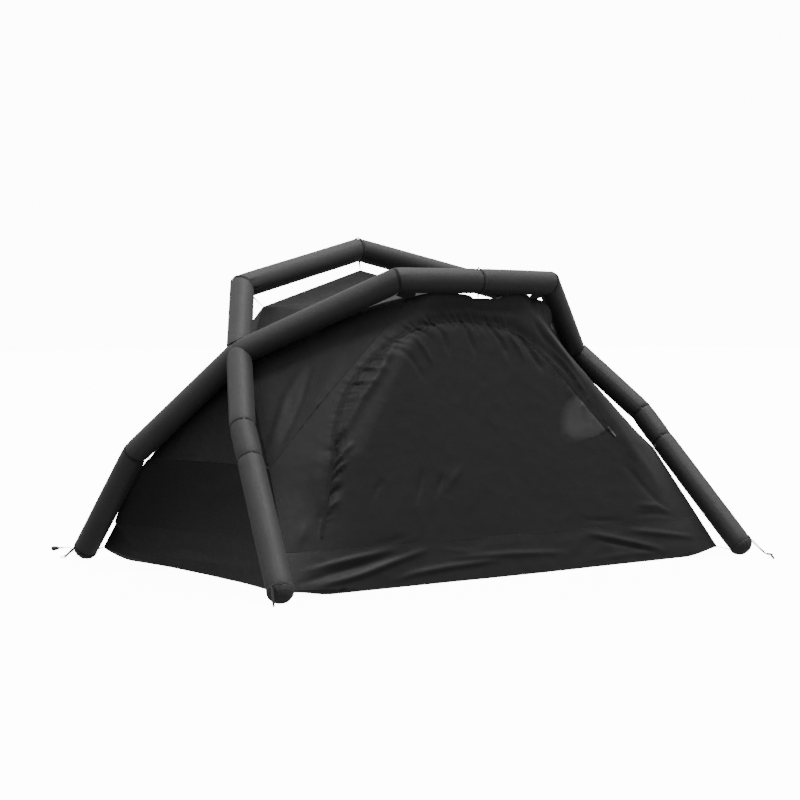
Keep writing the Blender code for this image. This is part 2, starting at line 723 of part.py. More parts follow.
def cabin_surfaces(corners):
    """Every cloth panel of the cabin as a grid of points on its outer side."""
    right_side = corners
    left_side = {name: flip(point) for name, point in corners.items()}
    back_base_y = lerp(corners["back_foot"].y, corners["back_tub"].y, 1.0) - BACK_EDGE_DRAW
    front_base_y = corners["ridge_front"].y - FRONT_WALL_LEAN * (corners["ridge_front"].z - TUB_HEIGHT)

    front_edge = run(corners["front_tub"], corners["front_leg"], RISE_STEPS)
    front_edge += run(corners["front_leg"], corners["roof_front"], RISE_STEPS, Vector(WALL_EDGE_BOW))[1:]
    back_edge = run(corners["back_tub"], corners["back_leg"], RISE_STEPS)
    back_edge += run(corners["back_leg"], corners["roof_back"], RISE_STEPS)[1:]
    front_wall = wall_grid(front_edge, front_base_y, corners["ridge_front"], FRONT_FLAT_SHARE, 0.0)
    back_wall = wall_grid(back_edge, back_base_y, corners["ridge_back"], BACK_FLAT_SHARE, 1.0)

    surfaces = {"front_wall": front_wall, "back_wall": [list(reversed(row)) for row in back_wall]}

    front_bottom = ground_run(
        left_side["front_foot"], right_side["front_foot"], WIDE_STEPS, Vector((0.0, -FRONT_EDGE_BOW, 0.0)))
    back_bottom = ground_run(
        left_side["back_foot"], right_side["back_foot"], WIDE_STEPS, Vector((0.0, -BACK_EDGE_DRAW, 0.0)))
    surfaces["tub_wall_front"] = loft(front_bottom, front_wall[0], 2)
    surfaces["tub_wall_back"] = [list(reversed(row)) for row in loft(back_bottom, back_wall[0], 2)]

    bottoms = {}
    for name, side, inward in (("right", right_side, -1.0), ("left", left_side, 1.0)):
        draw = Vector((inward * SIDE_EDGE_DRAW, 0.0, 0.0))
        seam_draw = Vector((inward * SIDE_SEAM_DRAW, 0.0, 0.0))
        hollow = Vector((inward * SIDE_HOLLOW, 0.0, 0.0))
        bottom = ground_run(side["front_foot"], side["back_foot"], DEEP_STEPS, draw)
        tub_top = run(side["front_tub"], side["back_tub"], DEEP_STEPS, draw)
        seam = run(side["front_leg"], side["back_leg"], DEEP_STEPS, seam_draw)
        front_rise = run(side["front_leg"], side["crossing"], RISE_STEPS)
        back_rise = run(side["back_leg"], side["crossing"], RISE_STEPS)
        bottoms[name] = bottom
        panels = {
            f"tub_wall_{name}": loft(bottom, tub_top, 2),
            f"side_wall_{name}": loft(tub_top, seam, RISE_STEPS, hollow),
            f"side_peak_{name}": gusset(seam, front_rise, back_rise, hollow),
        }
        bow = Vector((-inward * WALL_EDGE_BOW[0], WALL_EDGE_BOW[1], WALL_EDGE_BOW[2]))
        roof_bow = Vector((-inward * ROOF_EDGE_BOW[0], ROOF_EDGE_BOW[1], ROOF_EDGE_BOW[2]))
        wall_top = run(side["front_leg"], side["roof_front"], RISE_STEPS, bow)
        roof_rise = run(side["roof_front"], side["crossing"], RISE_STEPS, roof_bow)
        inside = (Vector((0.0, 0.0, 0.6)) - side["crossing"]).normalized() * SHOULDER_HOLLOW
        panels[f"front_shoulder_{name}"] = gusset(wall_top, front_rise, roof_rise, inside)
        wall_top = run(side["back_leg"], side["roof_back"], RISE_STEPS)
        roof_rise = list(reversed(run(side["crossing"], side["roof_back"], RISE_STEPS)))
        panels[f"back_shoulder_{name}"] = gusset(wall_top, back_rise, roof_rise, inside)
        for key, rows in panels.items():
            turned = name == "left"
            if key.startswith("front_shoulder"):
                turned = not turned
            surfaces[key] = [list(reversed(row)) for row in rows] if turned else rows

    surfaces["roof_panel"] = roof_grid(left_side, right_side, front_wall[-1], back_wall[-1])
    surfaces["groundsheet"] = floor_grid(front_bottom, back_bottom, bottoms, corners)
    return surfaces


def roof_grid(left_side, right_side, front_top, back_top):
    bow = Vector(ROOF_EDGE_BOW)
    front = run(left_side["crossing"], left_side["roof_front"], RISE_STEPS, flip(bow))[:-1] + front_top
    front += run(right_side["roof_front"], right_side["crossing"], RISE_STEPS, bow)[1:]
    back = run(left_side["crossing"], left_side["roof_back"], RISE_STEPS)[:-1] + back_top
    back += run(right_side["roof_back"], right_side["crossing"], RISE_STEPS)[1:]
    rows = []
    last = len(front) - 1
    for number in range(RISE_STEPS + 1):
        share = number / RISE_STEPS
        row = []
        for step, (start, end) in enumerate(zip(front, back)):
            point = lerp(start, end, share)
            point.z -= ROOF_SAG * 4.0 * share * (1.0 - share) * math.sin(math.pi * step / last) ** 0.5
            row.append(point)
        rows.append(row)
    return rows


def floor_grid(front_bottom, back_bottom, bottoms, corners):
    """The groundsheet: flat on the ground, lifted at its four corners by the foot ties."""
    rows = []
    for number in range(DEEP_STEPS + 1):
        share = number / DEEP_STEPS
        left_edge = bottoms["left"][number]
        right_edge = bottoms["right"][number]
        row = []
        for step in range(WIDE_STEPS + 1):
            across = step / WIDE_STEPS
            border = number in (0, DEEP_STEPS) or step in (0, WIDE_STEPS)
            ends = lerp(left_edge, right_edge, across)
            sides = lerp(front_bottom[step], back_bottom[step], share)
            flat = lerp(
                lerp(front_bottom[0], front_bottom[-1], across), lerp(back_bottom[0], back_bottom[-1], across), share)
            point = ends + sides - flat
            if not border:
                corner = Vector((math.copysign(corners["front_foot"].x, across - 0.5),
                                 corners["front_foot"].y if share < 0.5 else corners["back_foot"].y, 0.0))
                away = (Vector((point.x, point.y, 0.0)) - corner).length
                point.z = corners["front_foot"].z * max(0.0, 1.0 - away / FLOOR_LIFT_REACH) ** 2
            row.append(point)
        rows.append(list(reversed(row)))
    return rows


# Cabin cloth solids

def point_key(point):
    return tuple(round(value, 6) for value in point)


def sheet_faces(rows):
    """Faces of a grid, leaving out those that have shrunk to nothing."""
    faces = []
    for low, high in zip(rows, rows[1:]):
        for step in range(len(low) - 1):
            corners = []
            for point in (low[step], low[step + 1], high[step + 1], high[step]):
                key = point_key(point)
                if key not in corners:
                    corners.append(key)
            if len(corners) > 2:
                faces.append(corners)
    return faces


def face_normal(face):
    points = [Vector(key) for key in face]
    total = Vector((0.0, 0.0, 0.0))
    for before, after in zip(points, points[1:] + points[:1]):
        total += before.cross(after)
    return total.normalized()


def panel_normals(faces):
    """One normal for each point of a panel, from the faces round it."""
    sums = {}
    for face in faces:
        normal = face_normal(face)
        for key in face:
            sums[key] = sums.get(key, Vector((0.0, 0.0, 0.0))) + normal
    return {key: total.normalized() for key, total in sums.items()}


def border_pulls(faces):
    """For each border point, the ways that lead into the panel from its border edges."""
    owners = {}
    for face in faces:
        for start, end in zip(face, face[1:] + face[:1]):
            owners.setdefault(frozenset((start, end)), []).append((start, end, face))
    pulls = {}
    for uses in owners.values():
        if len(uses) > 1:
            continue
        start, end, face = uses[0]
        inward = face_normal(face).cross(Vector(end) - Vector(start)).normalized()
        pulls.setdefault(start, []).append(inward)
        pulls.setdefault(end, []).append(inward)
    return pulls


def solve_offset(conditions):
    """The smallest move that meets each condition: a direction and the distance along it."""
    ways = np.array([list(way) for way, _ in conditions])
    sizes = np.array([size for _, size in conditions])
    return Vector(np.linalg.lstsq(ways, sizes, rcond=0.05)[0])


class Cabin:
    """Cloth panels that meet edge to edge, mitred so that none reaches into its neighbour."""

    def __init__(self, surfaces):
        self.faces = {name: sheet_faces(rows) for name, rows in surfaces.items()}
        self.normals = {name: panel_normals(faces) for name, faces in self.faces.items()}
        self.shared = {}
        for normals in self.normals.values():
            for key, normal in normals.items():
                self.shared.setdefault(key, []).append(normal)

    def panel(self, names, outside=0.0, inside=-CLOTH):
        """One closed sheet of cloth cut from these surfaces, between two distances from them."""
        faces = [face for name in names for face in self.faces[name]]
        normals = {}
        for name in names:
            for key, normal in self.normals[name].items():
                normals.setdefault(key, []).append(normal)
        pulls = border_pulls(faces)
        bm = bmesh.new()
        outer = {}
        inner = {}
        for key, own_normals in normals.items():
            place = Vector(key)
            drawn = Vector((0.0, 0.0, 0.0))
            if key in pulls:
                drawn = solve_offset(
                    [(way, CLOTH_SEAM_GAP / 2.0) for way in pulls[key]] + [(normal, 0.0) for normal in own_normals])
            mitre = solve_offset([(way, 1.0) for way in self.shared[key]])
            outer[key] = bm.verts.new(place + drawn + mitre * outside)
            inner[key] = bm.verts.new(place + drawn + mitre * inside)
        borders = {}
        for face in faces:
            bm.faces.new([outer[key] for key in face])
            bm.faces.new([inner[key] for key in reversed(face)])
            for start, end in zip(face, face[1:] + face[:1]):
                edge = frozenset((start, end))
                if edge in borders:
                    borders.pop(edge)
                else:
                    borders[edge] = (start, end)
        for start, end in borders.values():
            bm.faces.new((outer[end], outer[start], inner[start], inner[end]))
        bmesh.ops.triangulate(bm, faces=bm.faces)
        return bm


def build_cabin(surfaces, upper_cloth, tub_cloth):
    cabin = Cabin(surfaces)
    panels = {
        "tub_floor": ("groundsheet", "tub_wall_front", "tub_wall_back", "tub_wall_left", "tub_wall_right"),
        "side_wall_left": ("side_wall_left", "side_peak_left"),
        "side_wall_right": ("side_wall_right", "side_peak_right"),
        "front_shoulder_left": ("front_shoulder_left",),
        "front_shoulder_right": ("front_shoulder_right",),
        "back_wall": ("back_wall", "back_shoulder_left", "back_shoulder_right"),
        "roof_panel": ("roof_panel",),
    }
    for name, parts in panels.items():
        add_mesh(name, cabin.panel(parts), tub_cloth if name == "tub_floor" else upper_cloth)
    return cabin


# Door and zip

def smooth_run(points, steps):
    """A smooth curve through hand-set points."""
    points = [Vector(point) for point in points]
    padded = [points[0] * 2.0 - points[1]] + points + [points[-1] * 2.0 - points[-2]]
    curve = []
    for before, start, end, after in zip(padded, padded[1:], padded[2:], padded[3:]):
        for step in range(steps):
            t = step / steps
            curve.append(0.5 * (
                2.0 * start + (end - before) * t + (2.0 * before - 5.0 * start + 4.0 * end - after) * t ** 2
                + (3.0 * start - before - 3.0 * end + after) * t ** 3))
    curve.append(points[-1])
    return curve


def beside(curve, distance, low_end_ease=0.0):
    """A curve beside another one: positive distances lie outside the door. The ease fades out from the low end."""
    moved = []
    for number, point in enumerate(curve):
        fade = max(0.0, 1.0 - (point.y - curve[0].y) / LOW_END_RISE)
        before = curve[max(number - 1, 0)]
        after = curve[min(number + 1, len(curve) - 1)]
        along = (after - before).normalized()
        moved.append(point + Vector((-along.y, along.x)) * (distance + low_end_ease * fade))
    return moved


def prism(outline_pairs, near_y, far_y):
    """A band between two curves of x and z, run along Y."""
    bm = bmesh.new()
    columns = []
    for inner, outer in outline_pairs:
        columns.append([
            bm.verts.new((inner.x, near_y, inner.y)), bm.verts.new((outer.x, near_y, outer.y)),
            bm.verts.new((outer.x, far_y, outer.y)), bm.verts.new((inner.x, far_y, inner.y))])
    for before, after in zip(columns, columns[1:]):
        for step in range(4):
            following = (step + 1) % 4
            bm.faces.new((before[step], before[following], after[following], after[step]))
    bm.faces.new(columns[0])
    bm.faces.new(list(reversed(columns[-1])))
    return bm


def door_prism(curve, near_y, far_y):
    """The door's outline run along Y: its zip curve closed by a straight fold line."""
    bm = bmesh.new()
    near = [bm.verts.new((point.x, near_y, point.y)) for point in curve]
    far = [bm.verts.new((point.x, far_y, point.y)) for point in curve]
    bm.faces.new(near)
    bm.faces.new(list(reversed(far)))
    for step in range(len(curve)):
        after = (step + 1) % len(curve)
        bm.faces.new((near[step], near[after], far[after], far[step]))
    return bm


def above_fold(curve, distance):
    """A door outline's curve, ended on its fold line moved outward by a distance."""
    fold_start, fold_end = Vector(ZIP_PATH[0]), Vector(ZIP_PATH[-1])
    along = (fold_end - fold_start).normalized()
    upward = Vector((-along.y, along.x))
    longer = [curve[0] * 2.0 - curve[1]] + curve + [curve[-1] * 2.0 - curve[-2]]
    heights = [(point - fold_start).dot(upward) + distance for point in longer]
    kept = []
    for number, point in enumerate(longer):
        if number and (heights[number - 1] > 0.0) != (heights[number] > 0.0):
            share = heights[number - 1] / (heights[number - 1] - heights[number])
            kept.append(lerp(longer[number - 1], point, share))
        if heights[number] > 0.0:
            kept.append(point)
    return kept


def blunted(outline, size):
    """Cut off the sharp corner where an outline's curve starts from its closing line."""
    low, following, high = outline[0], outline[1], outline[-1]
    cut = [low + (high - low).normalized() * size, low + (following - low).normalized() * size]
    return cut + outline[1:]


def build_door(cabin, upper_cloth, zip_material):
    near_y, far_y = -1.0, 0.2
    curve = smooth_run(ZIP_PATH, ZIP_STEPS)
    half = DOOR_GAP / 2.0
    ease = LOW_END_EASE / 2.0
    opening = add_cutter("door_opening", door_prism(above_fold(beside(curve, half, ease), half), near_y, far_y))
    leaf_outline = blunted(above_fold(beside(curve, -half, -ease), -half), DOOR_TIP_CUT)
    leaf = add_cutter("door_leaf", door_prism(leaf_outline, near_y, far_y))
    wall = add_mesh("front_wall", cabin.panel(("front_wall",)), upper_cloth)
    add_boolean(wall, opening, "DIFFERENCE")
    door = add_mesh("door_panel", cabin.panel(("front_wall",)), upper_cloth)
    add_boolean(door, leaf, "INTERSECT")
    first = next(number for number, point in enumerate(curve) if point.y > curve[0].y + ZIP_LOW_END)
    stretch = curve[-1] - curve[-2]
    for name, way, high_end in (("zip_tape_wall", 1.0, ZIP_HIGH_END), ("zip_tape_door", -1.0, DOOR_TAPE_HIGH_END)):
        line = curve[:-1] + [curve[-1] - stretch.normalized() * high_end]
        near = beside(line, way * half, way * ease)[first:]
        far = beside(line, way * ZIP_TAPE, way * ease)[first:]
        pairs = list(zip(near, far) if way > 0.0 else zip(far, near))
        band = add_cutter(f"{name}_band", prism(pairs, near_y, far_y))
        raised = cabin.panel(("front_wall",), outside=FIT_GAP + ZIP_HEIGHT, inside=FIT_GAP)
        tape = add_mesh(name, raised, zip_material)
        add_boolean(tape, band, "INTERSECT")


def front_plane(corners):
    """A point on the flat of the front wall and its outward normal and its upward way."""
    base_y = corners["ridge_front"].y - FRONT_WALL_LEAN * (corners["ridge_front"].z - TUB_HEIGHT)
    normal = Vector((0.0, -1.0, FRONT_WALL_LEAN)).normalized()
    return Vector((0.0, base_y, TUB_HEIGHT)), normal


def on_front(corners, x, z):
    origin, _ = front_plane(corners)
    return Vector((x, origin.y + FRONT_WALL_LEAN * (z - TUB_HEIGHT), z))


def slider_frame(corners):
    """Where the zip slider rests: a point on the cloth and the way up the zip."""
    high_end = on_front(corners, *ZIP_PATH[-1])
    next_point = on_front(corners, *ZIP_PATH[-2])
    along = (next_point - high_end).normalized()
    _, normal = front_plane(corners)
    across = along.cross(normal).normalized()
    start = high_end + along * (SLIDER_LENGTH * 0.5 + ZIP_HIGH_END) + across * (SLIDER_OFFSET + SLIDER_WIDTH * 0.5)
    return start, along, across, normal


def box(size_x, size_y, size_z, centre):
    bm = bmesh.new()
    bmesh.ops.create_cube(bm, size=1.0)
    bmesh.ops.scale(bm, vec=(size_x, size_y, size_z), verts=bm.verts)
    bmesh.ops.translate(bm, vec=centre, verts=bm.verts)
    return bm


def bevelled(bm, width):
    bmesh.ops.bevel(bm, geom=bm.edges[:], offset=width, segments=1, affect="EDGES")
    return bm


def build_slider(corners, metal, cord_material):
    start, along, across, normal = slider_frame(corners)
    turn = Matrix((across, along, normal)).transposed().to_4x4()
    place = Matrix.Translation(start) @ turn
    lift = ZIP_HEIGHT + 2.5 * FIT_GAP
    body = bevelled(box(SLIDER_WIDTH, SLIDER_LENGTH, SLIDER_HEIGHT, (0.0, 0.0, lift + SLIDER_HEIGHT / 2.0)), 0.0012)
    slider = add_mesh("zip_slider", body, metal)
    slider.matrix_world = place
    pin_y = -SLIDER_LENGTH / 2.0 - PULL_PIN_RADIUS - FIT_GAP
    pin_z = lift + SLIDER_HEIGHT / 2.0
    pull = box(PULL_WIDTH, PULL_LENGTH, PULL_THICKNESS, (0.0, pin_y - PULL_LENGTH / 2.0 + PULL_PIN_RADIUS, 0.0))
    bmesh.ops.translate(pull, vec=(0.0, -pin_y, 0.0), verts=pull.verts)
    tab = add_mesh("zip_pull", bevelled(pull, 0.0006), cord_material)
    tab.matrix_world = place @ Matrix.Translation((0.0, pin_y, pin_z))


# Ties, straps and loops

def strip(start, end, width_way, width, thickness, end_width=None):
    """A flat strip of webbing from one place to another, which may narrow to its end."""
    along = (end - start).normalized()
    side = (width_way - along * width_way.dot(along)).normalized()
    face = along.cross(side)
    bm = bmesh.new()
    rings = []
    for place, breadth in ((start, width), (end, end_width or width)):
        rings.append([
            place + side * (sx * breadth / 2.0) + face * (sy * thickness / 2.0)
            for sx, sy in ((-1, -1), (1, -1), (1, 1), (-1, 1))])
    skin_rings(bm, rings)
    return bm


def build_ties(front_arch, back_arch, corners, clearances, webbing):
    """Short webbing ties from the beams to the cabin's corners."""
    plans = (
        ("crossing_tie", CROSSING, "crossing", front_arch.frames[1][0]),
        ("roof_front_tie", FRONT_CORNER, "roof_front", front_arch.plane(3)),
        ("roof_back_tie", BACK_CORNER, "roof_back", back_arch.plane(4)),
        ("front_leg_tie", FRONT_LEG_LOW_SEAM, "front_leg", back_arch.plane(1)),
        ("back_leg_tie", BACK_LEG_BEND, "back_leg", front_arch.plane(1)),
    )
    for label, point, corner, along in plans:
        inner_end = Vector(point)
        way = (corners[corner] - inner_end).normalized()
        start = inner_end + way * (BEAM_RADIUS * 0.7)
        end = corners[corner] - way * TIE_CLEARANCE
        for side in ("right", "left"):
            tie = strip(start, end, flip(along), TIE_WIDTH, TIE_THICKNESS, TIE_END_WIDTH)
            if side == "left":
                bmesh.ops.transform(tie, matrix=Matrix.Scale(-1.0, 4, (1.0, 0.0, 0.0)), verts=tie.verts)
            item = add_mesh(f"{label}_{side}", tie, webbing)
            for cutter in clearances:
                add_boolean(item, cutter, "DIFFERENCE")


def band_sizes():
    """Inner and outer radius of a strap round a beam's seam."""
    inner = BEAM_RADIUS * CAP_PROFILE[1][1] + FIT_GAP
    return inner, inner + STRAP_THICKNESS


def build_ridge_straps(front_arch, back_arch, corners, clearances, webbing):
    """A strap round each arch's middle seam, with a tab on top and a tie down to the cabin's ridge."""
    inner, outer = band_sizes()
    for name, path, index, corner in (
            ("front_ridge_strap", front_arch, 4, "ridge_front"), ("back_ridge_strap", back_arch, 5, "ridge_back")):
        centre = path.corners[index]
        normal = path.plane(index)
        reach = path.length(index - 1) - (STRAP_WIDTH / 2.0) / path.frames[index - 1][0].dot(normal)
        shells = []
        for radius in (outer, inner):
            side_ring = path.ring(index - 1, reach, radius, normal)
            shells.append(across_middle([side_ring, path.ring(index - 1, path.length(index - 1), radius, normal)]))
        strap = add_mesh(name, hollow_tube(*shells), webbing)
        tab_root = inner - STRAP_ROOT
        tab_rise = STRAP_ROOT + STRAP_TAB
        tab_centre = centre + Vector((0.0, 0.0, tab_root + tab_rise / 2.0))
        tab = add_cutter(f"{name}_tab", box(STRAP_TAB_WIDTH, STRAP_TAB, tab_rise, tab_centre))
        add_boolean(strap, tab, "UNION")
        way = (corners[corner] - centre).normalized()
        tail = strip(centre + way * tab_root, corners[corner] - way * TIE_CLEARANCE,
                     normal, STRAP_TAIL_WIDTH, TIE_THICKNESS, TIE_END_WIDTH)
        add_boolean(strap, add_cutter(f"{name}_tail", tail), "UNION")
        for clearance in clearances:
            add_boolean(strap, clearance, "DIFFERENCE")


def build_foot_straps(front_arch, back_arch, corners, clearances, webbing):
    """A strap round each foot's seam, tied to the cabin's corner, with a peg loop lying on the ground."""
    inner, outer = band_sizes()
    caps = bmesh.new()
    for path in (front_arch, back_arch):
        skin_rings(caps, cap_rings(path, FIT_GAP))
        skin_rings(caps, flipped_rings(cap_rings(path, FIT_GAP)))
    cap_clearance = add_cutter("foot_cap_clearance", caps)
    for label, path, corner, way_y in (
            ("front", back_arch, "front_foot", -1.0), ("back", front_arch, "back_foot", 1.0)):
        axis = path.frames[0][0]
        foot = path.corners[0]
        half = STRAP_WIDTH / 2.0
        shells = [[path.ring(0, -half, radius), path.ring(0, half, radius)] for radius in (outer, inner)]
        seat = inner + STRAP_THICKNESS * 0.5
        goal = flip(corners[corner])
        tie_start = foot + across_axis(goal - foot, axis) * seat
        tie_end = goal - (goal - tie_start).normalized() * TIE_CLEARANCE
        loop_end = Vector((-PEG_LOOP_REACH[0], way_y * PEG_LOOP_REACH[1], PEG_LOOP_LIFT))
        loop_start = foot + across_axis(loop_end - foot, axis) * seat
        for side in ("left", "right"):
            mirror = Matrix.Scale(1.0 if side == "left" else -1.0, 4, (1.0, 0.0, 0.0))
            band = hollow_tube(*shells)
            bmesh.ops.transform(band, matrix=mirror, verts=band.verts)
            strap = add_mesh(f"foot_strap_{label}_{side}", band, webbing)
            for part, start, end, width, end_width in (
                    ("tie", tie_start, tie_end, TIE_WIDTH, TIE_END_WIDTH),
                    ("loop", loop_start, loop_end, PEG_LOOP_WIDTH, PEG_LOOP_WIDTH)):
                piece = strip(start, end, axis.cross(end - start), width, TIE_THICKNESS, end_width)
                bmesh.ops.transform(piece, matrix=mirror, verts=piece.verts)
                addition = add_cutter(f"foot_strap_{label}_{side}_{part}", piece)
                for clearance in (*clearances, cap_clearance):
                    add_boolean(addition, clearance, "DIFFERENCE")
                add_boolean(strap, addition, "UNION")


def across_axis(way, axis):
    """The part of a direction that is square to an axis."""
    return (way - axis * way.dot(axis)).normalized()


# Free cords

def even_route(route, step):
    """Points spaced evenly along a smooth curve through a route."""
    curve = smooth_run(route, 12)
    points = [curve[0]]
    travelled = 0.0
    for before, after in zip(curve, curve[1:]):
        travelled += (after - before).length
        if travelled >= step:
            points.append(after)
            travelled = 0.0
    if travelled > step * 0.3:
        points.append(curve[-1])
    else:
        points[-1] = curve[-1]
    return points


def add_cord(name, route, radius, material):
    data = bpy.data.curves.new(name, "CURVE")
    data.dimensions = "3D"
    data.bevel_depth = radius
    data.bevel_resolution = 2
    data.use_fill_caps = True
    points = even_route(route, CORD_STEP)
    spline = data.splines.new("POLY")
    spline.points.add(len(points) - 1)
    for target, point in zip(spline.points, points):
        target.co = (*point, 1.0)
    data.materials.append(material)
    item = bpy.data.objects.new(name, data)
    bpy.context.scene.collection.objects.link(item)
    return points


def build_cords(cord_material, plastic):
    add_cord("foot_cord_front_right", FRONT_CORD_ROUTE, FRONT_CORD_RADIUS, cord_material)
    points = add_cord("guy_cord_back_left", BACK_CORD_ROUTE, BACK_CORD_RADIUS, cord_material)
    along = points[-1] - points[-2]
    along = Vector((along.x, along.y, 0.0)).normalized()
    toggle = bmesh.new()
    rings = []
    for depth, radius in TOGGLE_PROFILE:
        ring = []
        for step in range(12):
            angle = 2.0 * math.pi * step / 12
            ring.append(Vector((radius * math.cos(angle), radius * math.sin(angle), depth)))
        rings.append(ring)
    skin_rings(toggle, rings)
    turn = along.to_track_quat("Z", "Y").to_matrix().to_4x4()
    bmesh.ops.transform(toggle, matrix=turn, verts=toggle.verts)
    low = min(vertex.co.z for vertex in toggle.verts)
    place = points[-1] + along * FIT_GAP
    bmesh.ops.translate(toggle, vec=(place.x, place.y, -low), verts=toggle.verts)
    add_mesh("guy_toggle_back_left", toggle, plastic)


def main():
    clear_scene()
    beam_cloth = make_material("beam_cloth", (0.095, 0.095, 0.098), 0.62)
    cabin_cloth = make_material("cabin_cloth", (0.030, 0.030, 0.031), 0.72)
    tub_cloth = make_material("tub_cloth", (0.042, 0.042, 0.044), 0.60)
    skin = make_material("air_bladder", (0.55, 0.55, 0.52), 0.35)
    plastic = make_material("black_plastic", (0.02, 0.02, 0.02), 0.40)
    zip_material = make_material("zip", (0.025, 0.025, 0.025), 0.50)
    metal = make_material("zip_metal", (0.03, 0.03, 0.03), 0.40)
    webbing = make_material("webbing", (0.02, 0.02, 0.02), 0.80)
    cord_material = make_material("cord", (0.02, 0.02, 0.02), 0.75)

    front_arch, back_arch = beam_paths()
    corners = cabin_corners(front_arch, back_arch)
    grow = BEAM_RADIUS / math.cos(math.pi / BEAM_SIDES) - BEAM_RADIUS + FIT_GAP
    saddles = build_saddle_cutters(front_arch, grow, "saddle")
    bladder_saddles = build_saddle_cutters(front_arch, grow + FIT_GAP, "bladder_saddle")
    air_saddles = build_saddle_cutters(front_arch, grow + FIT_GAP + BLADDER_SKIN, "air_saddle")
    ports = build_port_cutters(front_arch, back_arch, CONNECTOR_RADIUS + FIT_GAP, "connector_hole")
    build_sleeves(front_arch, back_arch, saddles, ports, beam_cloth)
    build_foot_caps(front_arch, back_arch, beam_cloth)
    bladders = build_bladders(front_arch, back_arch, bladder_saddles, air_saddles, ports, skin)
    build_connectors(back_arch, plastic)
    build_valves(front_arch, back_arch, bladders, plastic)

    cabin = build_cabin(cabin_surfaces(corners), cabin_cloth, tub_cloth)
    build_door(cabin, cabin_cloth, zip_material)
    build_slider(corners, metal, webbing)

    clearances = (
        add_cutter("front_arch_clearance", solid_tube(across_middle(front_arch.sleeve_rings(0, 4, grow, 0.0)))),
        add_cutter("back_arch_clearance", solid_tube(across_middle(back_arch.sleeve_rings(0, 5, FIT_GAP, 0.0)))))
    build_ties(front_arch, back_arch, corners, clearances, webbing)
    build_ridge_straps(front_arch, back_arch, corners, clearances, webbing)
    build_foot_straps(front_arch, back_arch, corners, clearances, webbing)
    build_cords(cord_material, plastic)


main()
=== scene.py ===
"""Looks of the two-person tent on inflated beams: fabric, seams, ties, zip, cords, floor, light and camera.

Everything is in metres in the model's own frame: +Z up, the door faces -Y, and the origin is on the ground at
the middle.
"""
import math

import bmesh
import bpy
import numpy as np
from mathutils import Matrix, Vector, geometry, noise


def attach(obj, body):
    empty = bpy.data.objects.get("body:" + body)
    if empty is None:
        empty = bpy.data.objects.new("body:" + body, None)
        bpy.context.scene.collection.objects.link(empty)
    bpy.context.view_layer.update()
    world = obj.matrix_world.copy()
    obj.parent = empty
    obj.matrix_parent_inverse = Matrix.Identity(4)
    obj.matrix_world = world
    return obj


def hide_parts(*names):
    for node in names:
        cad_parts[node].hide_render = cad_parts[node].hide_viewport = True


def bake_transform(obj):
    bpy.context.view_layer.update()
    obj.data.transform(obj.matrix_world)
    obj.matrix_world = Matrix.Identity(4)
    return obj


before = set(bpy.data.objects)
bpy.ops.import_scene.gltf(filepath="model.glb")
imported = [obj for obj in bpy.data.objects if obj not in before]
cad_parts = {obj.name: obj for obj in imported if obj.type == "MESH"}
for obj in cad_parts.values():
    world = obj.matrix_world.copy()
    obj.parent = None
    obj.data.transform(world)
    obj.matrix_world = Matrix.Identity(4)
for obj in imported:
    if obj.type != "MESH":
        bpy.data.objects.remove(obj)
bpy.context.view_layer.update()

# Sizes shared with the model: beams
BEAM_RADIUS = 0.050
FOOT_REACH_X = 1.148
FRONT_FOOT_REACH_Y = 0.742
BACK_FOOT_REACH_Y = 0.765
CROSSING = (0.866, 0.0, 0.860)
FRONT_CORNER = (0.386, -0.381, 1.142)
FRONT_MIDDLE = (0.0, -0.405, 1.144)
BACK_CORNER = (0.691, 0.264, 1.126)
BACK_APEX = (0.0, 0.435, 1.297)
FRONT_LEG_HIGH_SEAM = (1.016, -0.273, 0.593)
FRONT_LEG_LOW_SEAM = (1.043, -0.371, 0.476)
BACK_LEG_BEND = (1.147, 0.332, 0.462)
CAP_PROFILE = ((0.0, 0.95), (0.010, 0.97), (0.022, 0.84), (0.034, 0.62), (0.041, 0.42))
CAP_FLAT = 0.0005
PEG_LOOP_REACH = (1.222, 0.818)
PEG_LOOP_LIFT = 0.0048

# Sizes shared with the model: ties, as a way from the beam's corner and a length
CROSSING_TIE = ((-0.6455, 0.2895, -0.7067), 0.011)
ROOF_FRONT_TIE = ((-0.785, 0.100, -0.611), 0.060)
ROOF_BACK_TIE = ((-0.681, -0.244, -0.690), 0.069)
RIDGE_FRONT_TIE = ((0.0, 0.05, -1.0), 0.020)
RIDGE_BACK_TIE = ((0.0, -0.17, -0.985), 0.040)
FRONT_LEG_TIE = ((-0.844, -0.298, -0.447), 0.031)
BACK_LEG_TIE = ((-0.894, -0.317, -0.317), 0.013)
FRONT_FOOT_TIE = ((-0.823, 0.562, -0.12), 0.048)
BACK_FOOT_TIE = ((-0.950, -0.300, -0.02), 0.022)

# Sizes shared with the model: webbing of the ties and straps
TIE_WIDTH = 0.010
TIE_THICKNESS = 0.0015
TIE_END_WIDTH = 0.003
STRAP_WIDTH = 0.012
STRAP_THICKNESS = 0.0012
STRAP_RADIUS = 0.0494
STRAP_TAB = 0.007
PEG_LOOP_WIDTH = 0.008

# Webbing at the front roof corners, wider than the model's
ROOF_TAB_WIDTH = 0.084
ROOF_TAB_END_WIDTH = 0.034

# Tabs, loops and buckles of the straps
RIDGE_TAB_BULGE = 0.0022
RIDGE_TAB_WIDTH = 0.0048
RIDGE_TIE_WIDTH = 0.0096
PEG_LOOP_BULGE = 0.0030
BUCKLE_HALF_LENGTH = 0.0075
BUCKLE_WIDTHS = (0.011, 0.012, 0.011)
BUCKLE_THICKNESS = 0.0024
STRAP_GROUND_GAP = 0.0006

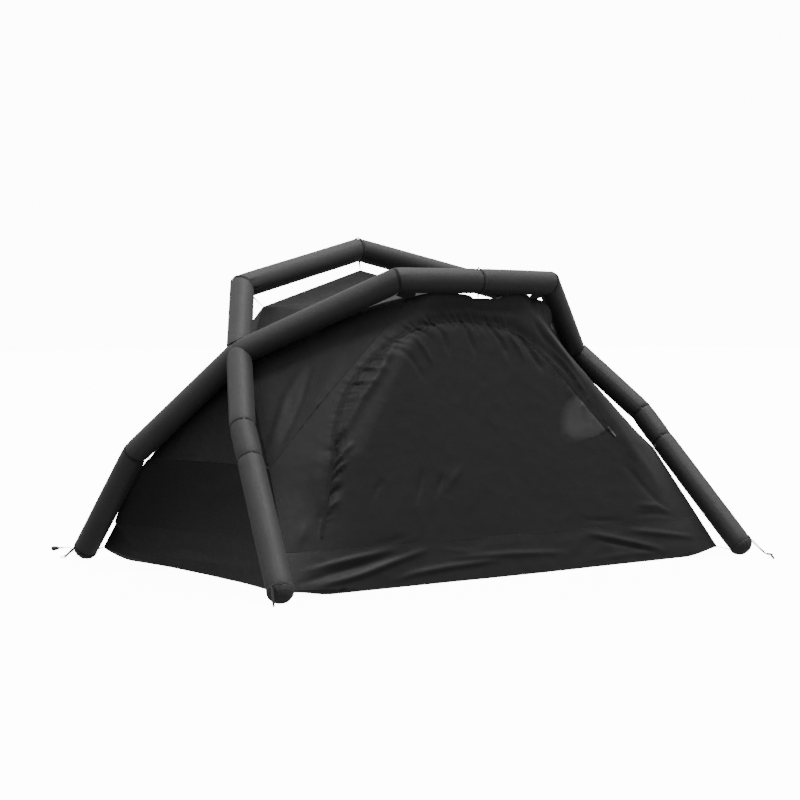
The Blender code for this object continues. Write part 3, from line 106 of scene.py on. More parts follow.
# Sizes of the cabin's cloth, most of them shared with the model
TUB_HEIGHT = 0.155
EDGE_REST_HEIGHT = 0.003
FRONT_WALL_LEAN = 0.278
FRONT_FLAT_SHARE = 0.68
BACK_FLAT_SHARE = 0.5
WALL_TURN = 1.6
WALL_EDGE_BOW = (0.010, -0.004, 0.010)
ROOF_EDGE_BOW = (0.014, -0.004, 0.016)
FRONT_EDGE_BOW = 0.012
BACK_EDGE_DRAW = 0.035
SIDE_EDGE_DRAW = 0.070
SIDE_SEAM_DRAW = 0.060
ROOF_SAG = 0.030
SIDE_HOLLOW = 0.020
BACK_RISE_BOW = (0.009, 0.0, 0.008)
SHOULDER_HOLLOW = 0.012
FLOOR_LIFT_REACH = 0.22
FLOOR_REST_HEIGHT = 0.0010
CABIN_HEART = 0.6
ZIP_PATH = (
    (-0.893, 0.190), (-0.835, 0.325), (-0.790, 0.450), (-0.752, 0.552), (-0.690, 0.665), (-0.622, 0.752),
    (-0.535, 0.835), (-0.440, 0.908), (-0.310, 0.966), (-0.150, 0.993), (0.020, 0.982), (0.150, 0.950),
    (0.240, 0.900), (0.345, 0.798), (0.459, 0.6635), (0.573, 0.529),
)

# Sizes shared with the model: free cords
FRONT_CORD_RADIUS = 0.0045
FRONT_CORD_ROUTE = (
    (1.2230, -0.8191, 0.0050), (1.2275, -0.8250, 0.0047), (1.2298, -0.8340, 0.0046),
    (1.2285, -0.8430, 0.0046), (1.2220, -0.8530, 0.0046), (1.2110, -0.8620, 0.0046),
    (1.1985, -0.8720, 0.0046), (1.1870, -0.8840, 0.0046), (1.1760, -0.8970, 0.0046),
    (1.1650, -0.9110, 0.0046), (1.1520, -0.9240, 0.0046), (1.1400, -0.9370, 0.0046),
)
BACK_CORD_RADIUS = 0.0015
BACK_CORD_ROUTE = (
    (-1.2228, 0.8190, 0.0044), (-1.2262, 0.8225, 0.0030), (-1.2280, 0.8350, 0.0016),
    (-1.2200, 0.8560, 0.0016), (-1.1960, 0.8850, 0.0016), (-1.1650, 0.9180, 0.0016),
    (-1.1370, 0.9500, 0.0016), (-1.1120, 0.9850, 0.0016), (-1.0900, 1.0200, 0.0016),
    (-1.0730, 1.0500, 0.0020), (-1.0690, 1.0700, 0.0050), (-1.0760, 1.0830, 0.0088),
    (-1.0860, 1.0850, 0.0099), (-1.0960, 1.0852, 0.0100),
)

# Fineness of the meshes, measures of the zip and thickness of the cloths
TUBE_SIDES = 64
RING_PITCH = 0.010
WIDE_STEPS = 170
DEEP_STEPS = 100
RISE_STEPS = 48
TUB_STEPS = 22
WALL_PITCH = 0.0095
ZIP_CUT = 0.0012
ZIP_TAPE_REACH = 0.0080
ZIP_LOW_END_STEPS = 2
TOOTH_PITCH = 0.0026
SLIDER_RUN = 0.370
SLIDER_RUN_EASE = 0.040
SLIDER_CLEARANCE = 0.018
ON_RIM = 0.0004
FADE_BATCH = 64
CLOTH_THICKNESS = 0.0008
BEAM_CLOTH_THICKNESS = 0.0010

# Seams of the beams
SEAM_DIP = 0.0022
SEAM_DIP_REACH = 0.020
CREASE_DEPTH = 0.0020
CREASE_REACH = 0.0045
SEAM_GAP = 0.0008
BAND_HALF_WIDTH = 0.0058
BAND_THICKNESS = 0.0014
BAND_SIDES = 120
BAND_GAP = 0.006
LEG_SEAM_ANGLES = {"left": 165.0, "right": 220.0}
LEG_SEAM_HEIGHT = 0.0007
LEG_SEAM_WIDTH = 0.0028
SEAM_RINGS = (0.003, 0.006)

# Gathers beside the beams' seams and saddles, and the unevenness of a full beam
SADDLE_DIP = 0.0012
SADDLE_DIP_REACH = 0.010
SADDLE_GATHER = 0.0008
SEAM_GATHER = 0.0010
BEND_GATHER = 0.011
GATHER_REACH = 0.035
BEAM_SWELL = 0.0007
BEAM_DENT = 0.0003
BEAM_SLACK = 0.0004

# Studio light: strengths of the dome low and high, the seen backdrop, the floor's glow and the key
DOME_LOW = 0.48
DOME_HIGH = 2.4
BACKDROP = 16.0
FLOOR_GLOW = 12.0
FLOOR_SIZE = 60.0
KEY_PLACE = (0.75, -0.90, 4.5)
KEY_WIDTH = 12.0
KEY_POWER = 2.6


# Camera

CAMERA_PLACE = (-4.4802, -6.0215, 0.9631)
CAMERA_YAW = 0.6298
CAMERA_PITCH = 0.0408
CAMERA_LENS = 81.0
SENSOR_WIDTH = 36.0
CLIP_END = 100.0


def make_camera():
    """A camera turned by its yaw from +Y towards +X, and tipped down by its pitch."""
    flat = math.cos(CAMERA_PITCH)
    forward = Vector((math.sin(CAMERA_YAW) * flat, math.cos(CAMERA_YAW) * flat, -math.sin(CAMERA_PITCH)))
    across = Vector((math.cos(CAMERA_YAW), -math.sin(CAMERA_YAW), 0.0))
    upward = across.cross(forward)
    data = bpy.data.cameras.new("camera")
    data.lens = CAMERA_LENS
    data.sensor_width = SENSOR_WIDTH
    data.clip_end = CLIP_END
    camera = bpy.data.objects.new("camera", data)
    turn = Matrix((across, upward, -forward)).transposed().to_4x4()
    camera.matrix_world = Matrix.Translation(CAMERA_PLACE) @ turn
    bpy.context.scene.collection.objects.link(camera)
    bpy.context.scene.camera = camera


# Base shades of the cloths
BEAM_SHADE = 0.026
CABIN_SHADE = 0.0093
TUB_SHADE = 0.010
# Painted highlight: how many times brighter the door's base colour is in the marked stretch beside the zip
PAINTED_HIGHLIGHT_SHARE = 3.7
BEAM_GLOSS = 0.28
CABIN_GLOSS = 0.16
BEAM_SHEEN = 0.04
CABIN_SHEEN = 0.02
RIB_FINENESS = 62.0
STRAND_FINENESS = 220.0
STRAND_TURN = 0.6


# Materials

class Shader:
    """A Principled material with small helpers for its nodes."""

    def __init__(self, name, colour, roughness, sheen=0.0, sheen_roughness=0.5, specular=0.5, coat=0.0):
        self.material = bpy.data.materials.new(name)
        self.material.use_nodes = True
        self.tree = self.material.node_tree
        self.shader = self.tree.nodes["Principled BSDF"]
        self.shader.inputs["Base Color"].default_value = (*colour, 1.0)
        self.shader.inputs["Roughness"].default_value = roughness
        self.shader.inputs["Sheen Weight"].default_value = sheen
        self.shader.inputs["Sheen Roughness"].default_value = sheen_roughness
        self.shader.inputs["Specular IOR Level"].default_value = specular
        self.shader.inputs["Coat Weight"].default_value = coat
        self.height = None

    def feed(self, socket, value):
        """Link a socket to a value, or set it."""
        if isinstance(value, bpy.types.NodeSocket):
            self.tree.links.new(value, socket)
        else:
            socket.default_value = value

    def node(self, kind, **inputs):
        made = self.tree.nodes.new(kind)
        for key, value in inputs.items():
            self.feed(made.inputs[key.replace("_", " ")], value)
        return made

    def math(self, operation, first, second=None):
        made = self.tree.nodes.new("ShaderNodeMath")
        made.operation = operation
        self.feed(made.inputs[0], first)
        if second is not None:
            self.feed(made.inputs[1], second)
        return made.outputs[0]

    def place(self, kind="Object", turn=(0.0, 0.0, 0.0)):
        source = self.tree.nodes.new("ShaderNodeTexCoord")
        return self.node("ShaderNodeMapping", Vector=source.outputs[kind], Rotation=turn).outputs[0]

    def noise(self, place, scale, detail=3.0, roughness=0.5):
        made = self.node("ShaderNodeTexNoise", Vector=place, Scale=scale, Detail=detail, Roughness=roughness)
        return made.outputs["Fac"]

    def wave(self, place, scale, direction="X"):
        made = self.node("ShaderNodeTexWave", Vector=place, Scale=scale, Distortion=0.0)
        made.wave_type = "BANDS"
        made.bands_direction = direction
        made.wave_profile = "SIN"
        return made.outputs["Fac"]

    def spread(self, value, low, high, low_out, high_out):
        """A value from low to high, spread from low_out to high_out."""
        return self.node("ShaderNodeMapRange", Value=value, From_Min=low, From_Max=high, To_Min=low_out,
                         To_Max=high_out).outputs[0]

    def vary(self, value, dark, light):
        """Colour between two shades by a value from 0 to 1."""
        ramp = self.tree.nodes.new("ShaderNodeMix")
        ramp.data_type = "RGBA"
        self.tree.links.new(value, ramp.inputs["Factor"])
        ramp.inputs["A"].default_value = (*dark, 1.0)
        ramp.inputs["B"].default_value = (*light, 1.0)
        self.tree.links.new(ramp.outputs["Result"], self.shader.inputs["Base Color"])

    def bump(self, height, distance, strength=1.0):
        made = self.node("ShaderNodeBump", Height=height, Distance=distance, Strength=strength)
        if self.height is not None:
            self.tree.links.new(self.height, made.inputs["Normal"])
        self.height = made.outputs[0]
        self.tree.links.new(self.height, self.shader.inputs["Normal"])

    def weave(self, place, fineness, distance):
        """Over-and-under weave: two crossed waves whose scale is the fineness."""
        crossed = self.math("SUBTRACT", self.wave(place, fineness, "X"), self.wave(place, fineness, "Y"))
        self.bump(self.math("ABSOLUTE", crossed), distance)

    def roughness_from(self, value, low, high):
        self.tree.links.new(self.spread(value, 0.0, 1.0, low, high), self.shader.inputs["Roughness"])


def grey(value, tint=0.0):
    return (value, value, value * (1.0 + tint))


def beam_cloth():
    shader = Shader("beam_fabric", grey(BEAM_SHADE), 0.52, sheen=BEAM_SHEEN, sheen_roughness=0.45,
                    specular=BEAM_GLOSS)
    cloth = shader.place("UV")
    cloudy = shader.spread(shader.noise(cloth, scale=9.0, detail=4.0, roughness=0.55), 0.3, 0.7, 0.0, 1.0)
    shader.vary(cloudy, dark=grey(BEAM_SHADE * 0.93, 0.02), light=grey(BEAM_SHADE * 1.08, 0.02))
    shader.roughness_from(shader.noise(cloth, scale=60.0, detail=2.0), low=0.46, high=0.62)
    shader.bump(shader.noise(cloth, scale=38.0, roughness=0.6), distance=0.0016, strength=0.6)
    shader.weave(cloth, fineness=700.0, distance=0.00012)
    return shader.material


def ripstop(name, base, roughness, crinkle, coat=0.0):
    """Thin woven cloth with a grid of thicker threads, fine creases, and a painted highlight: a brighter base
    colour where the mesh marks it.
    """
    shader = Shader(name, grey(base), roughness, sheen=CABIN_SHEEN, specular=CABIN_GLOSS, coat=coat)
    shader.shader.inputs["Coat Roughness"].default_value = 0.45
    cloth = shader.place("UV")
    cloudy = shader.noise(cloth, scale=5.0, detail=5.0, roughness=0.6)
    cloth_tone = shader.math("MULTIPLY", shader.spread(cloudy, 0.3, 0.7, 0.9, 1.1), base)
    # Painted highlight: the base colour is made brighter where the mesh marks the cloth
    painted_highlight = shader.tree.nodes.new("ShaderNodeAttribute")
    painted_highlight.attribute_name = "painted_highlight"
    lift = shader.math("ADD", shader.math("MULTIPLY", painted_highlight.outputs["Fac"], PAINTED_HIGHLIGHT_SHARE - 1.0), 1.0)
    shader.tree.links.new(shader.math("MULTIPLY", cloth_tone, lift), shader.shader.inputs["Base Color"])
    shader.roughness_from(shader.noise(cloth, scale=45.0, detail=2.0), roughness - 0.07, roughness + 0.08)
    shader.bump(shader.noise(cloth, scale=26.0, detail=5.0, roughness=0.65), crinkle, strength=0.8)
    ribs = shader.math(
        "MAXIMUM", shader.wave(cloth, RIB_FINENESS, "X"), shader.wave(cloth, RIB_FINENESS, "Y"))
    shader.bump(shader.spread(ribs, 0.93, 1.0, 0.0, 1.0), distance=0.00012)
    shader.weave(cloth, fineness=1100.0, distance=0.00006)
    return shader.material


def webbing(name="webbing_tape", base=0.016, fineness=450.0, sheen=0.10, specular=0.3):
    shader = Shader(name, grey(base), 0.78, sheen=sheen, specular=specular)
    cloth = shader.place("UV")
    shader.vary(shader.noise(cloth, scale=300.0, detail=2.0), dark=grey(base * 0.7), light=grey(base * 1.35))
    shader.weave(cloth, fineness, distance=0.00025)
    return shader.material


def braid():
    shader = Shader("braided_cord", grey(0.018), 0.70, sheen=0.10, specular=0.35)
    along = shader.place("UV", turn=(0.0, 0.0, STRAND_TURN))
    across = shader.place("UV", turn=(0.0, 0.0, -STRAND_TURN))
    strands = shader.math(
        "MAXIMUM", shader.wave(along, STRAND_FINENESS, "Y"), shader.wave(across, STRAND_FINENESS, "Y"))
    shader.vary(strands, dark=grey(0.008), light=grey(0.024))
    shader.bump(strands, distance=0.0006)
    return shader.material


def moulded(name, base, roughness, specular=0.5):
    shader = Shader(name, grey(base), roughness, specular=specular)
    solid = shader.place()
    shader.vary(shader.noise(solid, scale=120.0), dark=grey(base * 0.85), light=grey(base * 1.15))
    shader.roughness_from(shader.noise(solid, scale=900.0, detail=2.0), roughness - 0.06, roughness + 0.10)
    shader.bump(shader.noise(solid, scale=2600.0, detail=2.0), distance=0.00006)
    return shader.material


def bladder_film():
    shader = Shader("bladder_film", grey(0.5), 0.35, coat=0.2)
    solid = shader.place()
    shader.vary(shader.noise(solid, scale=14.0), dark=(0.46, 0.46, 0.43), light=(0.58, 0.58, 0.55))
    shader.bump(shader.noise(solid, scale=55.0), distance=0.0008)
    return shader.material


def floor_material():
    shader = Shader("studio_floor", grey(0.86), 0.85, specular=0.2)
    shader.vary(shader.noise(shader.place(), scale=0.8, detail=2.0), dark=grey(0.85), light=grey(0.87))
    shader.shader.inputs["Emission Color"].default_value = (1.0, 1.0, 1.0, 1.0)
    shader.shader.inputs["Emission Strength"].default_value = FLOOR_GLOW
    return shader.material


MATERIALS = {
    "beam": beam_cloth(),
    "cabin": ripstop("cabin_fabric", CABIN_SHADE, 0.56, crinkle=0.0011),
    "tub": ripstop("tub_fabric", TUB_SHADE, 0.44, crinkle=0.0013, coat=0.03),
    "webbing": webbing(),
    # binding_tape is near-black: on the beams' seam bands its colour is partly the tape's own and partly
    # painted shade of the creases
    "binding": webbing("binding_tape", 0.0045, fineness=700.0),
    # The zip's tape and coil are lighter than the cabin's cloth: painted light that evens out the shade in
    # the zip's groove
    "zip": webbing("zip_tape", 0.0120, fineness=900.0, sheen=0.02, specular=0.16),
    "coil": moulded("zip_coil", 0.0150, 0.65, specular=0.16),
    "metal": moulded("black_metal", 0.030, 0.32),
    "pull": webbing("zip_pull_tape", 0.120, fineness=600.0),
    "cord": braid(),
    "plastic": moulded("valve_plastic", 0.022, 0.38),
    "film": bladder_film(),
}


# Pieces

def thicken(piece, thickness):
    """Give a sheet its cloth's thickness inward, with clean edges."""
    solid = piece.modifiers.new("thickness", "SOLIDIFY")
    solid.thickness = thickness
    solid.offset = -1.0
    edges = piece.modifiers.new("clean_edges", "EDGE_SPLIT")
    edges.split_angle = math.radians(60.0)


def weld(piece, distance, sliver=0.0):
    """Join points that lie on each other, and take out faces thinner than a sliver."""
    shape = bmesh.new()
    shape.from_mesh(piece.data)
    bmesh.ops.remove_doubles(shape, verts=shape.verts, dist=distance)
    if sliver:
        bmesh.ops.dissolve_degenerate(shape, edges=shape.edges, dist=sliver)
    shape.to_mesh(piece.data)
    shape.free()


def add_piece(name, points, faces, kind, replaced=(), body="tent", uvs=None, thickness=0.0, sharp=None):
    """A smooth mesh piece that rides on a body, with cloth coordinates in metres."""
    mesh = bpy.data.meshes.new(name)
    mesh.from_pydata([tuple(point) for point in points], [], [tuple(face) for face in faces])
    mesh.validate()
    owners = np.zeros(len(mesh.loops), np.int32)
    mesh.loops.foreach_get("vertex_index", owners)
    if uvs is None:
        places = np.array([tuple(point) for point in points], np.float32)
        longest = np.argsort(places.min(0) - places.max(0))[:2]
        uvs = places[:, longest]
    layer = mesh.uv_layers.new(name="UVMap")
    layer.data.foreach_set("uv", np.asarray(uvs, np.float32)[owners].ravel())
    mesh.shade_smooth()
    if sharp is not None:
        mesh.set_sharp_from_angle(angle=math.radians(sharp))
    mesh.materials.append(MATERIALS[kind])
    piece = bpy.data.objects.new(name, mesh)
    bpy.context.scene.collection.objects.link(piece)
    if thickness:
        thicken(piece, thickness)
    if body == "door":
        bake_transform(piece)
    else:
        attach(piece, body)
    if replaced:
        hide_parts(*replaced)
    return piece


def flip(point):
    return Vector((-point[0], point[1], point[2]))


def mirror_shape(shape):
    points, faces = shape
    return [flip(point) for point in points], [tuple(reversed(face)) for face in faces]


def add_on_side(side, name, shape, kind, **words):
    """Add a piece that is modelled on the left, or its mirror image on the right."""
    points, faces = shape if side == "left" else mirror_shape(shape)
    return add_piece(name, points, faces, kind, **words)


def grid_faces(rows, columns, wrapped=False):
    faces = []
    for row in range(rows - 1):
        for column in range(columns - (0 if wrapped else 1)):
            after = (column + 1) % columns
            faces.append((row * columns + column, row * columns + after,
                          (row + 1) * columns + after, (row + 1) * columns + column))
    return faces


def tube_faces(rows, wide, closed_line=False):
    """Faces of a tube of rings, joined end to end or capped at both ends."""
    faces = grid_faces(rows, wide, wrapped=True)
    last = (rows - 1) * wide
    if closed_line:
        faces += [(last + k, last + (k + 1) % wide, (k + 1) % wide, k) for k in range(wide)]
    else:
        faces += [tuple(reversed(range(wide))), tuple(range(last, last + wide))]
    return faces


def smooth_run(points, steps):
    """A smooth curve through given points."""
    points = [Vector(point) for point in points]
    padded = [points[0] * 2.0 - points[1]] + points + [points[-1] * 2.0 - points[-2]]
    curve = []
    for before, start, end, after in zip(padded, padded[1:], padded[2:], padded[3:]):
        for step in range(steps):
            t = step / steps
            curve.append(0.5 * (
                2.0 * start + (end - before) * t + (2.0 * before - 5.0 * start + 4.0 * end - after) * t ** 2
                + (3.0 * start - before - 3.0 * end + after) * t ** 3))
    curve.append(points[-1])
    return curve


def even_points(curve, pitch):
    """The same curve with points about a pitch apart, its ends kept."""
    travelled = [0.0]
    for before, after in zip(curve, curve[1:]):
        travelled.append(travelled[-1] + (after - before).length)
    count = max(2, round(travelled[-1] / pitch) + 1)
    flat = np.array([tuple(point) for point in curve])
    wanted = np.linspace(0.0, travelled[-1], count)
    return [Vector(point) for point in np.column_stack(
        [np.interp(wanted, travelled, flat[:, axis]) for axis in range(flat.shape[1])])]


def heading(line, number):
    """The way that a line of points runs at one of them."""
    return (line[min(number + 1, len(line) - 1)] - line[max(number - 1, 0)]).normalized()


def swept(line, profile, side=None, closed_line=False):
    """Points and faces of a profile (pairs across and out) swept along a line."""
    points = []
    previous = Vector(side) if side is not None else None
    for number, place in enumerate(line):
        if closed_line:
            along = (line[(number + 1) % len(line)] - line[number - 1]).normalized()
        else:
            along = heading(line, number)
        if previous is None:
            previous = along.orthogonal()
        across = (previous - along * previous.dot(along)).normalized()
        previous = across
        out = along.cross(across)
        points.extend(place + across * x + out * y for x, y in profile)
    return points, tube_faces(len(line), len(profile), closed_line)


def round_profile(radius, sides=10):
    return [(radius * math.cos(math.tau * step / sides), radius * math.sin(math.tau * step / sides))
            for step in range(sides)]


def tape_profile(width, thickness):
    """A flat tape's section with rounded edges."""
    half, ease = width / 2.0, thickness / 2.0
    return [(-half, 0.0), (-half + ease, -ease), (half - ease, -ease), (half, 0.0), (half - ease, ease),
            (-half + ease, ease)]


class Parts:
    """Several closed shapes gathered into one piece."""

    def __init__(self):
        self.points = []
        self.faces = []

    def add(self, shape):
        points, faces = shape
        start = len(self.points)
        self.points.extend(points)
        self.faces.extend(tuple(index + start for index in face) for face in faces)

    def piece(self, name, kind, **words):
        return add_piece(name, self.points, self.faces, kind, **words)


# Beams

class BeamPath:
    """The corners of half a beam, on the left, with a steady cross-section frame."""

    def __init__(self, corners):
        self.corners = [flip(corner) for corner in corners]
        self.frames = []
        side = None
        last = None
        for start, end in zip(self.corners, self.corners[1:]):
            direction = (end - start).normalized()
            if side is None:
                side = direction.cross(Vector((1.0, 0.0, 0.0))).normalized()
            else:
                side = last.rotation_difference(direction) @ side
            last = direction
            self.frames.append((direction, side, direction.cross(side)))

    def plane(self, index):
        if index == 0:
            return self.frames[0][0]
        if index == len(self.corners) - 1:
            return Vector((1.0, 0.0, 0.0))
        return (self.frames[index - 1][0] + self.frames[index][0]).normalized()

    def length(self, index):
        return (self.corners[index + 1] - self.corners[index]).length


def foot_corner(reach_y, knee):
    """Place a foot so that its cap stands on the ground."""
    foot = Vector((FOOT_REACH_X, reach_y, BEAM_RADIUS))
    for _ in range(6):
        down = (foot - knee).normalized()
        flat = math.sqrt(1.0 - down.z ** 2)
        drop = max(-down.z * depth + BEAM_RADIUS * share * flat for depth, share in CAP_PROFILE)
        foot.z = drop - CAP_FLAT
    return foot


BACK_FOOT = foot_corner(BACK_FOOT_REACH_Y, Vector(BACK_LEG_BEND))
FRONT_FOOT = foot_corner(-FRONT_FOOT_REACH_Y, Vector(FRONT_LEG_LOW_SEAM))
FRONT_ARCH = BeamPath((BACK_FOOT, BACK_LEG_BEND, CROSSING, FRONT_CORNER, FRONT_MIDDLE))
BACK_ARCH = BeamPath((FRONT_FOOT, FRONT_LEG_LOW_SEAM, FRONT_LEG_HIGH_SEAM, CROSSING, BACK_CORNER, BACK_APEX))


def seam_dip(distance):
    """How far the cloth is drawn in at this distance from a seam."""
    return (SEAM_DIP * math.exp(-(distance / SEAM_DIP_REACH) ** 2)
            + CREASE_DEPTH * math.exp(-(distance / CREASE_REACH) ** 2))


def arch_distance(point):
    """Distance from the middle line of the front arch near the crossing."""
    best = 1.0
    for index in (1, 2):
        start, end = FRONT_ARCH.corners[index], FRONT_ARCH.corners[index + 1]
        share = min(1.0, max(0.0, (point - start).dot(end - start) / (end - start).length_squared))
        best = min(best, (point - start.lerp(end, share)).length)
    return best


def saddle_reach(centre, offset, direction, length, clearance):
    """How far a straight line of cloth runs from its far end before it meets the front arch."""
    low, high = 0.0, length
    for _ in range(24):
        middle = (low + high) / 2.0
        if arch_distance(centre + offset + direction * middle) < BEAM_RADIUS + clearance:
            high = middle
        else:
            low = middle
    return low


def round_noise(angle, spread, third):
    """Smooth noise at a place round a beam, given by its angle and a third number."""
    return noise.noise(Vector((math.cos(angle) * spread, math.sin(angle) * spread, third)))


class Stretch:
    """One straight run of a beam between two corners, with its two ends cut by a seam or by a saddle."""

    def __init__(self, path, index, saddle=None, seed=0, seam_angle=None):
        self.path = path
        self.seam_angle = seam_angle
        self.index = index
        self.saddle = saddle
        self.seed = seed
        self.direction, self.side, self.top = path.frames[index]
        self.start = path.corners[index]
        self.length = path.length(index)
        self.ends = [self.limits(math.tau * step / TUBE_SIDES) for step in range(TUBE_SIDES)]

    def offset(self, angle):
        return self.side * math.cos(angle) + self.top * math.sin(angle)

    def limits(self, angle):
        """Where the cloth's straight line at this angle starts and stops along the run."""
        reach = self.offset(angle) * (BEAM_RADIUS - SEAM_DIP)
        found = []
        for number, corner in enumerate((self.index, self.index + 1)):
            if self.saddle == number:
                if number:
                    found.append(saddle_reach(self.start, reach, self.direction, self.length, SEAM_GAP))
                else:
                    end = self.start + self.direction * self.length
                    found.append(self.length - saddle_reach(
                        end, reach, -self.direction, self.length, SEAM_GAP))
                continue
            normal = self.path.plane(corner)
            square = self.direction.dot(normal)
            shift = -reach.dot(normal) / square
            gap = SEAM_GAP / 2.0 / square
            found.append(shift + gap if number == 0 else self.length + shift - gap)
        return found

    def bend(self, number):
        """The way that points into the bend at one end of the run."""
        corner = self.index + number
        if corner in (0, len(self.path.corners) - 1) or self.saddle == number:
            return Vector((0.0, 0.0, 0.0))
        before = self.path.frames[corner - 1][0]
        after = self.path.frames[corner][0]
        return after - before

    def radius(self, angle, near, far, along):
        """Radius at an angle, with the distances to both ends of this line of cloth."""
        radius = BEAM_RADIUS
        outward = self.offset(angle)
        for number, distance in ((0, near), (1, far)):
            if self.saddle == number:
                radius -= SADDLE_DIP * math.exp(-(distance / SADDLE_DIP_REACH) ** 2)
                gather = SADDLE_GATHER
            else:
                radius -= seam_dip(distance)
                gather = SEAM_GATHER + BEND_GATHER * max(0.0, self.bend(number).dot(outward))
            pleats = round_noise(angle, 4.2, self.seed * 5.7 + number)
            fine = round_noise(angle, 9.0, self.seed * 7.3 + number * 3.1)
            radius += gather * (pleats + 0.5 * fine) * math.exp(-distance / GATHER_REACH)
        soft = round_noise(angle, 0.9, along * 4.5 + self.seed * 11.0)
        dents = round_noise(angle, 2.0, along * 14.0 + self.seed * 3.0)
        if self.seam_angle is not None:
            aside = math.remainder(angle - math.radians(self.seam_angle), math.tau) * BEAM_RADIUS
            radius += LEG_SEAM_HEIGHT * math.exp(-(aside / LEG_SEAM_WIDTH) ** 2)
        return radius + BEAM_SWELL * soft + BEAM_DENT * dents - BEAM_SLACK

    def rings(self):
        """Rows of points along the run, with extra ones close to its ends."""
        count = max(8, round(self.length / RING_PITCH))
        near_ends = [distance / self.length for distance in SEAM_RINGS]
        shares = {step / count for step in range(count + 1)}
        shares.update(near_ends, [1.0 - share for share in near_ends])
        points, uvs = [], []
        for share in sorted(shares):
            for step in range(TUBE_SIDES + 1):
                angle = math.tau * (step % TUBE_SIDES) / TUBE_SIDES
                first, last = self.ends[step % TUBE_SIDES]
                along = first + (last - first) * share
                radius = self.radius(angle, along - first, last - along, along)
                points.append(self.start + self.direction * along + self.offset(angle) * radius)
                uvs.append((math.tau * step / TUBE_SIDES * BEAM_RADIUS, along))
        return points, uvs, len(shares)


def sleeve(name, stretches, replaced, side):
    """A beam sleeve made of one or more straight runs, sewn into one skin."""
    points, faces, uvs = [], [], []
    shift = 0.0
    for stretch in stretches:
        more, cloth, rows = stretch.rings()
        start = len(points)
        points.extend(more)
        uvs.extend((u, v + shift) for u, v in cloth)
        shift += stretch.length
        faces.extend(tuple(index + start for index in face) for face in grid_faces(rows, TUBE_SIDES + 1))
    piece = add_on_side(side, name, (points, faces), "beam", replaced=replaced, uvs=uvs)
    weld(piece, 0.00002)
    thicken(piece, BEAM_CLOTH_THICKNESS)


def build_sleeves():
    plans = (
        ("back_leg", "back_leg_sleeve", FRONT_ARCH, (0,), None),
        ("arch_haunch", "front_arch_haunch", FRONT_ARCH, (1, 2), None),
        ("front_ridge", "front_ridge_sleeve", FRONT_ARCH, (3,), None),
        ("front_leg_low", "front_leg_lower_sleeve", BACK_ARCH, (0,), None),
        ("front_leg_high", "front_leg_upper_sleeve", BACK_ARCH, (1, 2), 1),
        ("rear_haunch", "back_arch_haunch", BACK_ARCH, (3,), 0),
        ("rear_ridge", "back_ridge_sleeve", BACK_ARCH, (4,), None),
    )
    seed = 0
    for label, node, path, runs, saddle in plans:
        for side in ("left", "right"):
            stretches = []
            for index in runs:
                seed += 1
                cut = saddle if (path is BACK_ARCH and index in (2, 3)) else None
                angle = LEG_SEAM_ANGLES[side] if label.startswith("front_leg") else None
                stretches.append(Stretch(path, index, cut, seed, angle))
            sleeve(f"{label}_fabric_{side}", stretches, (f"{node}_{side}",), side)


def seam_ring(path, index, radius_change, sides):
    """Points round a beam on the seam plane of one of its corners."""
    direction, side, top = path.frames[min(index, len(path.frames) - 1)]
    normal = path.plane(index)
    ring = []
    for step in range(sides):
        angle = math.tau * step / sides
        offset = (side * math.cos(angle) + top * math.sin(angle)) * (BEAM_RADIUS + radius_change)
        ring.append(path.corners[index] + offset - direction * (offset.dot(normal) / direction.dot(normal)))
    return ring


def band(path, index, lift, half_width, thickness, gap_angle=None, gap=0.0):
    """A flat band round a seam, which may be left open where the lengthwise seam crosses it."""
    normal = path.plane(index)
    ring = seam_ring(path, index, lift, BAND_SIDES)
    if gap_angle is not None:
        first = round(gap_angle / 360.0 * len(ring))
        skip = max(1, round(gap / (math.tau * BEAM_RADIUS) * len(ring)))
        ring = [ring[(first + number) % len(ring)] for number in range(skip, len(ring) - skip + 1)]
    points = []
    profile = tape_profile(half_width * 2.0, thickness)
    for place in ring:
        out = (place - path.corners[index]).normalized()
        points.extend(place + normal * x + out * y for x, y in profile)
    return points, tube_faces(len(ring), len(profile), closed_line=gap_angle is None)


def build_seam_bands():
    """Dark binding tape round the sleeves' seams; its near-black colour is partly the tape's own and partly
    painted shade of the seams' creases.
    """
    lift = -SEAM_DIP - CREASE_DEPTH * 0.35
    plans = (
        ("back_leg_seam", FRONT_ARCH, 1, False),
        ("front_corner_seam", FRONT_ARCH, 3, False),
        ("front_leg_low_seam", BACK_ARCH, 1, True),
        ("front_leg_high_seam", BACK_ARCH, 2, True),
        ("rear_corner_seam", BACK_ARCH, 4, False),
    )
    for label, path, index, crossed in plans:
        for side in ("left", "right"):
            angle = LEG_SEAM_ANGLES[side] if crossed else None
            shape = band(path, index, lift, BAND_HALF_WIDTH, BAND_THICKNESS, angle, BAND_GAP)
            add_on_side(side, f"{label}_{side}", shape, "binding")


# Feet

CAP_SIDES = 72
CAP_STEPS = 22
CAP_PLEATS = 17.0
PLEAT_DEPTH = 0.055
PLEAT_REACH = 0.030
CAP_BULGE = 0.0015
CAP_SHORTFALL = 0.001
HUB_DEPTH = 0.006
SKIN_CLEARANCE = 0.0004
HUB_CLEARANCE = 0.0008


